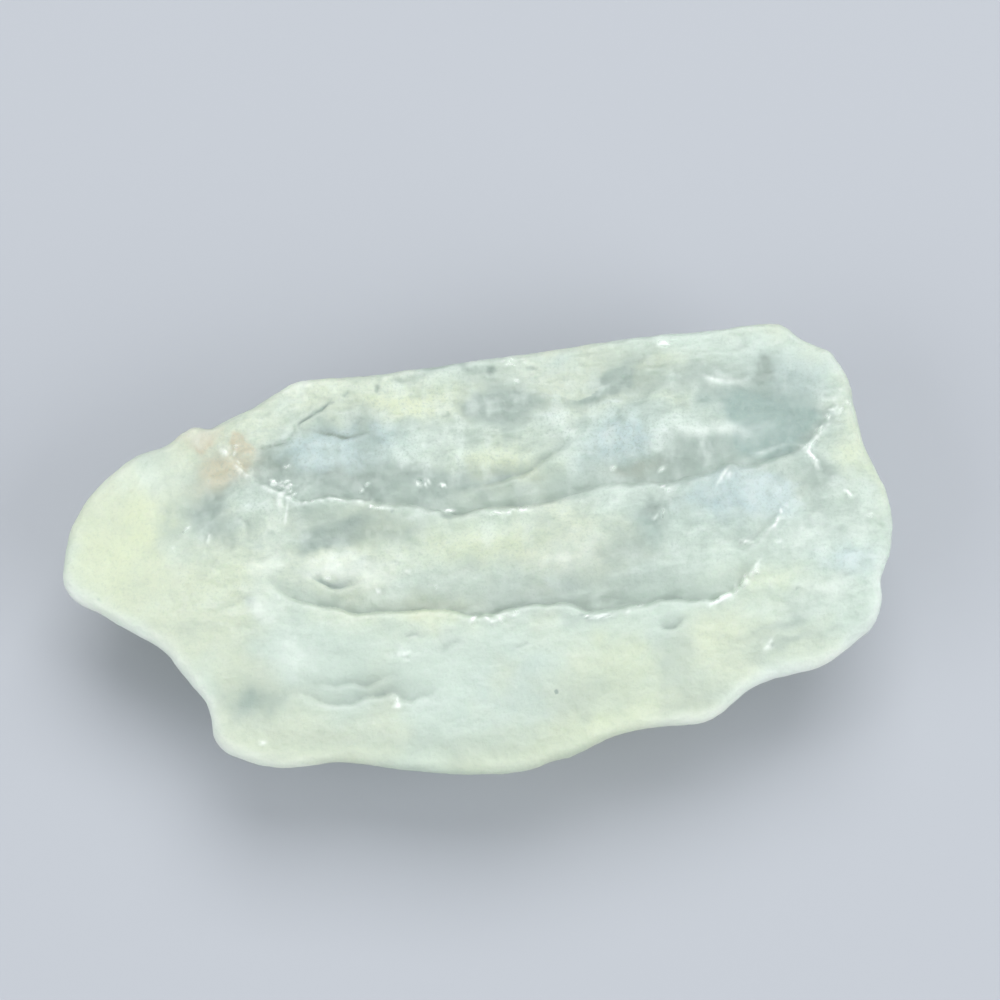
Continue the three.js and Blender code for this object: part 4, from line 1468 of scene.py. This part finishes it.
    def _rim_at(self, angle: Array) -> Array:
        """Find where rays from the centre cross the rim.

        Args:
            angle: The rays' directions, in a space where the lump's box is a square.

        Returns:
            The crossings, x and y.
        """
        outline = self.form.rim.points[:, :2]
        half = (outline.max(axis=0) - outline.min(axis=0)) / 2
        scaled = (outline - self.centre) / half
        bearing = np.unwrap(np.arctan2(scaled[:, 1], scaled[:, 0]))
        falling = bearing[0] - np.mod(bearing[0] - angle, 2 * np.pi)
        step = np.clip(np.searchsorted(-bearing, -falling) - 1, 0, len(bearing) - 2)
        a, b = scaled[step], scaled[step + 1]
        ray_x, ray_y = np.cos(angle), np.sin(angle)
        from_a = ray_x * a[:, 1] - ray_y * a[:, 0]
        from_b = ray_x * b[:, 1] - ray_y * b[:, 0]
        share = np.clip(from_a / (from_a - from_b), 0, 1)[:, None]
        return outline[step] + share * (outline[step + 1] - outline[step])

    def _edge_numbers(self) -> Array:
        """List the grid's edge points anticlockwise, seen from above.

        Returns:
            Point numbers.
        """
        last_i, last_j = self.cells_long, self.cells_wide
        side = last_j + 1
        front = [i * side for i in range(last_i)]
        right = [last_i * side + j for j in range(last_j)]
        back = [i * side + last_j for i in range(last_i, 0, -1)]
        left = list(range(last_j, 0, -1))
        return np.array(front + right + back + left)

    def _top_quads(self) -> Array:
        """List the top grid's faces.

        Returns:
            Four point numbers a face.
        """
        side = self.cells_wide + 1
        i, j = np.meshgrid(np.arange(self.cells_long), np.arange(self.cells_wide), indexing="ij")
        a = (i * side + j).ravel()
        return np.column_stack([a, a + side, a + side + 1, a + 1])

    def _belly(self, top: Array, edge: Array) -> tuple[Array, Array, Array]:
        """Close the skin underneath with rings, halving their points on the way in.

        Args:
            top: The top's points.
            edge: The numbers of the points along the rim.

        Returns:
            All points, then the belly's triangles and its four-sided faces.
        """
        points = [top]
        count = len(top)
        triangles, quads = [], []
        centre = np.array(self.centre)
        rim = top[edge, :2]
        outer = edge
        mean_radius = np.hypot(*(rim - centre).T).mean()
        rings = int(mean_radius / self.ring_step)
        for k in range(1, rings):
            reach = 1 - (k / rings) ** self.rim_crowding
            is_crowded = reach * 2 * np.pi * mean_radius / len(outer) < self.ring_step / 2
            halve = is_crowded and len(outer) % 2 == 0 and len(outer) > self.coarsest_ring
            if halve:
                rim = rim[::2]
            place = centre + reach * (rim - centre)
            height = self.form.belly_height(place[:, 0], place[:, 1])
            points.append(np.column_stack([place, height]))
            inner = count + np.arange(len(place))
            count += len(place)
            if halve:
                first, second, third = outer[::2], outer[1::2], np.roll(outer[::2], -1)
                following = np.roll(inner, -1)
                triangles.append(np.column_stack([first, inner, second]))
                triangles.append(np.column_stack([second, inner, following]))
                triangles.append(np.column_stack([second, following, third]))
            else:
                quads.append(np.column_stack([outer, inner, np.roll(inner, -1), np.roll(outer, -1)]))
            outer = inner
        points.append(np.array([[*centre, 0.0]]))
        tip = np.full(len(outer), count)
        triangles.append(np.column_stack([outer, tip, np.roll(outer, -1)]))
        return np.concatenate(points), np.concatenate(triangles), np.concatenate(quads)


# ---------------------------------------------------------------------------------------------
# Finishes
# ---------------------------------------------------------------------------------------------


Masks = dict[Tint, Socket]


@dataclass(frozen=True)
class Grain:
    """One noise: its blobs' size in metres, its octaves, how strong the fine ones are, and its stretch."""

    size: float
    detail: float
    roughness: float
    stretch: Place = (1.0, 1.0, 1.0)


class NodeTree:
    """A material's nodes, with short ways to add the usual ones."""

    def __init__(self, tree: bpy.types.NodeTree) -> None:
        """Hold the tree."""
        self.tree = tree

    def add(self, kind: str) -> bpy.types.Node:
        """Add a node."""
        return self.tree.nodes.new(kind)

    def link(self, source: Socket, target: Socket) -> None:
        """Join two sockets."""
        self.tree.links.new(source, target)

    def feed(self, value: Socket | float | Colour, target: Socket) -> None:
        """Link a socket, or set a plain number or colour.

        Args:
            value: What the target gets.
            target: The socket to feed.
        """
        if isinstance(value, bpy.types.NodeSocket):
            self.link(value, target)
        elif isinstance(value, tuple):
            target.default_value = (*value, 1.0)
        else:
            target.default_value = value

    def noise(self, place: Socket, grain: Grain) -> Socket:
        """Add a noise.

        Args:
            place: The point's place.
            grain: The noise's sizes.

        Returns:
            The noise's value.
        """
        mapping = self.add("ShaderNodeMapping")
        mapping.inputs["Scale"].default_value = grain.stretch
        self.link(place, mapping.inputs["Vector"])
        node = self.add("ShaderNodeTexNoise")
        node.inputs["Scale"].default_value = 1.0 / grain.size
        node.inputs["Detail"].default_value = grain.detail
        node.inputs["Roughness"].default_value = grain.roughness
        self.link(mapping.outputs["Vector"], node.inputs["Vector"])
        return node.outputs["Fac"]

    def maths(self, operation: str, *values: Socket | float) -> Socket:
        """Add a sum on numbers and sockets.

        Args:
            operation: The kind of sum.
            values: What it is worked out from.

        Returns:
            The result.
        """
        node = self.add("ShaderNodeMath")
        node.operation = operation
        for value, target in zip(values, node.inputs):
            self.feed(value, target)
        return node.outputs["Value"]

    def multiply_add(self, value: Socket, factor: float, offset: Socket | float) -> Socket:
        """Multiply and add."""
        return self.maths("MULTIPLY_ADD", value, factor, offset)

    def span(self, value: Socket, low: float, high: float) -> Socket:
        """Spread a stretch of values over 0 to 1, eased at both ends.

        Args:
            value: The value.
            low: What becomes 0.
            high: What becomes 1; it may be below low.

        Returns:
            A share from 0 to 1.
        """
        node = self.add("ShaderNodeMapRange")
        node.interpolation_type = "SMOOTHSTEP"
        node.inputs["From Min"].default_value = low
        node.inputs["From Max"].default_value = high
        self.link(value, node.inputs["Value"])
        return node.outputs["Result"]

    def mix(self, share: Socket, first: Socket | float | Colour, second: float | Colour) -> Socket:
        """Mix two colours or two numbers.

        Args:
            share: How much of the second there is.
            first: A colour or number.
            second: Another of the same kind.

        Returns:
            The mixture.
        """
        node = self.add("ShaderNodeMix")
        if isinstance(second, tuple):
            node.data_type = "RGBA"
        self.feed(share, node.inputs["Factor"])
        self.feed(first, node.inputs["A"])
        self.feed(second, node.inputs["B"])
        return node.outputs["Result"]

    def mask(self, tint: Tint, uneven: Socket, amount: float) -> Socket:
        """Read a tint's value at the point, its strength made uneven by noise.

        Args:
            tint: The tint.
            uneven: The noise.
            amount: How far the noise changes the strength.

        Returns:
            A share from 0 to 1.
        """
        node = self.add("ShaderNodeAttribute")
        node.attribute_name = tint.value
        strength = self.multiply_add(uneven, 2 * amount, 1 - amount)
        product = self.maths("MULTIPLY", node.outputs["Fac"], strength)
        product.node.use_clamp = True
        return product


@dataclass(frozen=True)
class GlassFinish:
    """Frosted natural silica glass: milky, part see-through, tinted from place to place, with painted shade
    and highlight.

    A span is the stretch of a noise's values over which a colour comes in. The curtain, speckle and
    cloud shares are how strongly those looks show in the clouded places, and the calm values what is
    left of them elsewhere. cloud_break is how far noise breaks up the tints.
    """

    name: str = "frosted_desert_glass"
    deep: Colour = (0.47, 0.56, 0.50)
    mint: Colour = (0.70, 0.80, 0.72)
    milk: Colour = (0.84, 0.92, 0.87)
    cream: Colour = (0.77, 0.83, 0.68)
    # the shade tint is painted shade with some greyer glass; the near-white last tint is milky glass and
    # painted highlight
    tint_colours: tuple[tuple[Tint, Colour], ...] = (
        (Tint.WARM, (0.80, 0.86, 0.65)),
        (Tint.CLEAR, (0.73, 0.87, 0.88)),
        (Tint.SHADE, (0.42, 0.50, 0.455)),
        (Tint.SEA, (0.39, 0.505, 0.47)),
        (Tint.STAIN, (0.70, 0.66, 0.51)),
        (Tint.FROST_AND_HIGHLIGHT, (0.95, 1.0, 0.95)),
    )
    cloud: Grain = Grain(0.011, 3.0, 0.5)
    mottle: Grain = Grain(0.0032, 5.0, 0.75, stretch=(0.45, 1.0, 1.0))
    uneven: Grain = Grain(0.0032, 2.0, 0.6, stretch=(0.45, 1.0, 1.0))
    curtain: Grain = Grain(0.0016, 2.0, 0.5, stretch=(1.0, 0.55, 1.0))
    speckle: Grain = Grain(0.00022, 2.0, 0.7)
    coarse_frosting: Grain = Grain(0.001, 3.0, 0.6)
    fine_frosting: Grain = Grain(0.0004, 2.0, 0.6)
    cream_span: Span = (0.42, 0.62)
    deep_span: Span = (0.55, 0.3)
    milk_span: Span = (0.5, 0.7)
    deep_fold_span: Span = (0.52, 0.3)
    milk_fold_span: Span = (0.5, 0.7)
    speckle_span: Span = (0.45, 0.75)
    curtain_share: float = 0.5
    speckle_share: float = 0.45
    calm_speckle: float = 0.2
    cloud_break: float = 0.6
    cloud_share: float = 0.95
    calm_share: float = 0.25
    roughness: float = 0.46
    roughness_spread: float = 0.14
    gloss_roughness: float = 0.1
    transmission: float = 0.30
    clear_transmission: float = 0.2
    frost_and_highlight_transmission: float = 0.1
    ior: float = 1.46
    body_scatter: float = 0.6
    scatter_depth: float = 0.0012
    scatter_colour: Colour = (0.9, 1.0, 0.9)
    coarse_frosting_share: float = 1.6
    frosting_height: float = 0.00005
    absorption_colour: Colour = (0.62, 0.86, 0.70)
    absorption_density: float = 12.0

    def material(self) -> bpy.types.Material:
        """Make the material.

        Returns:
            The material, with one shader and a plain absorption inside.
        """
        paint = bpy.data.materials.new(self.name)
        paint.use_nodes = True
        tree = NodeTree(paint.node_tree)
        shader = paint.node_tree.nodes["Principled BSDF"]
        output = paint.node_tree.nodes["Material Output"]
        place = tree.add("ShaderNodeTexCoord").outputs["Object"]
        mottle = tree.noise(place, self.mottle)
        uneven = tree.noise(place, self.uneven)
        masks = {tint: tree.mask(tint, uneven, self.cloud_break) for tint in Tint}
        colour = self._tinted_body(tree, place, mottle, masks)
        tree.link(self._folded(tree, place, colour, masks), shader.inputs["Base Color"])
        rough = tree.multiply_add(mottle, self.roughness_spread, self.roughness - self.roughness_spread / 2)
        rough = tree.mix(masks[Tint.GLOSS], rough, self.gloss_roughness)
        tree.link(rough, shader.inputs["Roughness"])
        clear = tree.multiply_add(masks[Tint.CLEAR], self.clear_transmission, self.transmission)
        clear = tree.mix(masks[Tint.FROST_AND_HIGHLIGHT], clear, self.frost_and_highlight_transmission)
        tree.link(clear, shader.inputs["Transmission Weight"])
        tree.link(self._frosting(tree, place), shader.inputs["Normal"])
        shader.inputs["IOR"].default_value = self.ior
        shader.inputs["Subsurface Weight"].default_value = self.body_scatter
        shader.inputs["Subsurface Scale"].default_value = self.scatter_depth
        shader.inputs["Subsurface Radius"].default_value = self.scatter_colour
        absorption = tree.add("ShaderNodeVolumeAbsorption")
        absorption.inputs["Color"].default_value = (*self.absorption_colour, 1.0)
        absorption.inputs["Density"].default_value = self.absorption_density
        tree.link(absorption.outputs["Volume"], output.inputs["Volume"])
        return paint

    def _tinted_body(self, tree: NodeTree, place: Socket, mottle: Socket, masks: Masks) -> Socket:
        """Colour the clouded body of the glass, then its tinted places.

        Args:
            tree: The material's nodes.
            place: The point's place in space.
            mottle: The mottled noise.
            masks: How strong each tint is.

        Returns:
            The colour.
        """
        cloud = tree.noise(place, self.cloud)
        cloudy = tree.multiply_add(masks[Tint.CLOUD], self.cloud_share, self.calm_share)
        colour = tree.mix(tree.span(cloud, *self.cream_span), self.mint, self.cream)
        deep = tree.maths("MULTIPLY", tree.span(mottle, *self.deep_span), cloudy)
        colour = tree.mix(deep, colour, self.deep)
        milky = tree.maths("MULTIPLY", tree.span(mottle, *self.milk_span), cloudy)
        colour = tree.mix(milky, colour, self.milk)
        for tint, tint_colour in self.tint_colours:
            colour = tree.mix(masks[tint], colour, tint_colour)
        return colour

    def _folded(self, tree: NodeTree, place: Socket, colour: Socket, masks: Masks) -> Socket:
        """Hang dark and milky folds in the clouded places and speckle the whole.

        Args:
            tree: The material's nodes.
            place: The point's place in space.
            colour: The colour so far.
            masks: How strong each tint is.

        Returns:
            The colour.
        """
        curtain = tree.noise(place, self.curtain)
        hung = tree.maths("MULTIPLY", masks[Tint.CLOUD], self.curtain_share)
        hung = tree.mix(masks[Tint.SEA], hung, 0.0)
        deep_fold = tree.maths("MULTIPLY", tree.span(curtain, *self.deep_fold_span), hung)
        colour = tree.mix(deep_fold, colour, self.deep)
        milk_fold = tree.maths("MULTIPLY", tree.span(curtain, *self.milk_fold_span), hung)
        colour = tree.mix(milk_fold, colour, self.milk)
        freckled = tree.multiply_add(masks[Tint.CLOUD], self.speckle_share, self.calm_speckle)
        freckled = tree.mix(masks[Tint.FROST_AND_HIGHLIGHT], freckled, 0.0)
        speckle = tree.span(tree.noise(place, self.speckle), *self.speckle_span)
        return tree.mix(tree.maths("MULTIPLY", speckle, freckled), colour, self.deep)

    def _frosting(self, tree: NodeTree, place: Socket) -> Socket:
        """Make the frosted grain of the skin.

        Args:
            tree: The material's nodes.
            place: The point's place in space.

        Returns:
            The bumped normal.
        """
        coarse = tree.noise(place, self.coarse_frosting)
        fine = tree.noise(place, self.fine_frosting)
        bump = tree.add("ShaderNodeBump")
        bump.inputs["Strength"].default_value = 1.0
        bump.inputs["Distance"].default_value = self.frosting_height
        tree.link(tree.multiply_add(coarse, self.coarse_frosting_share, fine), bump.inputs["Height"])
        return bump.outputs["Normal"]


@dataclass(frozen=True)
class FloorPaint:
    """Plain pale matt paint."""

    name: str = "floor_paint"
    colour: Colour = (0.42, 0.44, 0.475)
    roughness: float = 0.9

    def material(self) -> bpy.types.Material:
        """Make the material.

        Returns:
            The material.
        """
        paint = bpy.data.materials.new(self.name)
        paint.use_nodes = True
        shader = paint.node_tree.nodes["Principled BSDF"]
        shader.inputs["Base Color"].default_value = (*self.colour, 1.0)
        shader.inputs["Roughness"].default_value = self.roughness
        return paint


# ---------------------------------------------------------------------------------------------
# The finished lump
# ---------------------------------------------------------------------------------------------


@dataclass
class GlassLump:
    """The finished lump."""

    mesh: LumpMesh
    finish: GlassFinish
    skin_waves: tuple[tuple[float, float], ...] = ((2.2, 0.06), (0.9, 0.025), (0.45, 0.01))  # size, height
    facet_margin: float = 0.8
    strongest_tint: float = 1.5

    def build(self) -> bpy.types.Object:
        """Make the lump's object and set it in the place of the plain solid.

        Returns:
            The object, dressed and riding on its body.
        """
        skin = self.mesh.build()
        self._wear_flanks(skin)
        low, high = skin.points.min(axis=0), skin.points.max(axis=0)
        cad_low, cad_high = (Vector(corner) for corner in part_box(NODE))
        shift = np.array((cad_low + cad_high) / 2) / MM - (low + high) / 2
        shift[2] = cad_low.z / MM - low[2]
        skin.points = (skin.points + shift) * MM
        piece = self._make_object(skin)
        piece.data.materials.append(self.finish.material())
        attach(piece, "root")
        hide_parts(NODE)
        return piece

    def _wear_flanks(self, skin: Skin) -> None:
        """Wear the shallow bowls and fine waves into the skin, leaving the facet flat.

        Args:
            skin: The skin, whose points are moved.
        """
        x, y, z = skin.points.T
        depth = sum(hollow.at(skin.points) for hollow in FLANK_HOLLOWS)
        for size, height in self.skin_waves:
            depth += height * GRAIN_NOISE.layered(x / size, y / size, z / size)
        depth *= smoothstep(0, self.facet_margin, z)
        skin.points -= skin.normals() * depth[:, None]

    def _make_object(self, skin: Skin) -> bpy.types.Object:
        """Turn the skin into a smooth-shaded mesh object with its tints.

        Args:
            skin: The skin, in metres.

        Returns:
            The object.
        """
        data = bpy.data.meshes.new(LUMP_NAME)
        data.from_pydata(skin.points.tolist(), [], skin.quads.tolist() + skin.triangles.tolist())
        data.shade_smooth()
        for tint, values in skin.tints.items():
            layer = data.attributes.new(tint.value, "FLOAT", "POINT")
            layer.data.foreach_set("value", np.clip(values, 0, self.strongest_tint).astype(np.float32))
        piece = bpy.data.objects.new(LUMP_NAME, data)
        bpy.context.scene.collection.objects.link(piece)
        return piece


# ---------------------------------------------------------------------------------------------
# Studio
# ---------------------------------------------------------------------------------------------


@dataclass(frozen=True)
class Lamp:
    """One square lamp that points at the lump."""

    name: str
    place: Place
    size: float
    power: float

    def hang(self) -> bpy.types.Object:
        """Hang the lamp.

        Returns:
            The lamp's object.
        """
        lamp = bpy.data.lights.new(self.name, "AREA")
        lamp.size = self.size
        lamp.energy = self.power
        holder = bpy.data.objects.new(self.name, lamp)
        holder.location = self.place
        holder.rotation_euler = (-Vector(self.place)).to_track_quat("-Z", "Y").to_euler()
        bpy.context.scene.collection.objects.link(holder)
        return holder


@dataclass
class Studio:
    """The pale floor, the soft light and the camera."""

    floor_paint: FloorPaint
    floor_size: float = 3.0
    sky_colour: Colour = (0.9, 0.95, 1.0)
    sky_strength: float = 0.485
    lamps: tuple[Lamp, ...] = (
        Lamp("back_window", (0.12, 0.60, 1.02), 0.85, 9.5),
        Lamp("right_fill", (0.80, -0.40, 0.60), 0.8, 6.0),
        Lamp("left_fill", (-0.80, -0.40, 0.60), 0.8, 4.5),
    )
    elevation: float = 73.0  # degrees that the camera looks down
    distance: float = 0.205
    lens: float = 90.0
    clip_start: float = 0.01
    aim: Place = (0.00184, 0.00524, 0.00600)

    def build(self) -> list[bpy.types.Object]:
        """Set up everything round the lump.

        Returns:
            The floor, the lamps and the camera.
        """
        self._light_sky()
        bpy.context.scene.view_settings.view_transform = "Standard"
        return [self._lay_floor(), *(lamp.hang() for lamp in self.lamps), self._place_camera()]

    def _lay_floor(self) -> bpy.types.Object:
        """Lay the floor.

        Returns:
            The floor's object.
        """
        bpy.ops.mesh.primitive_plane_add(size=self.floor_size, location=(0, 0, 0))
        floor = bpy.context.object
        floor.name = "floor"
        floor.data.materials.append(self.floor_paint.material())
        return floor

    def _light_sky(self) -> None:
        """Fill the studio with an even light."""
        world = bpy.data.worlds.new("studio")
        world.use_nodes = True
        background = world.node_tree.nodes["Background"]
        background.inputs["Color"].default_value = (*self.sky_colour, 1.0)
        background.inputs["Strength"].default_value = self.sky_strength
        bpy.context.scene.world = world

    def _place_camera(self) -> bpy.types.Object:
        """Place the camera above the front of the lump.

        Returns:
            The camera's object.
        """
        data = bpy.data.cameras.new("camera")
        data.lens = self.lens
        data.clip_start = self.clip_start
        camera = bpy.data.objects.new("camera", data)
        angle = math.radians(self.elevation)
        away = Vector((0, -math.cos(angle), math.sin(angle))) * self.distance
        camera.location = Vector(self.aim) + away
        camera.rotation_euler = (-away).to_track_quat("-Z", "Y").to_euler()
        bpy.context.scene.collection.objects.link(camera)
        bpy.context.scene.camera = camera
        return camera


def main() -> None:
    """Build the lump and the studio round it."""
    logging.basicConfig(level=logging.INFO, format="%(name)s: %(message)s")
    lump = GlassLump(LumpMesh(LumpForm()), GlassFinish()).build()
    log.info("%s has %d faces", lump.name, len(lump.data.polygons))
    for thing in Studio(FloorPaint()).build():
        log.info("%s is in place", thing.name)


if __name__ == "__main__":
    main()
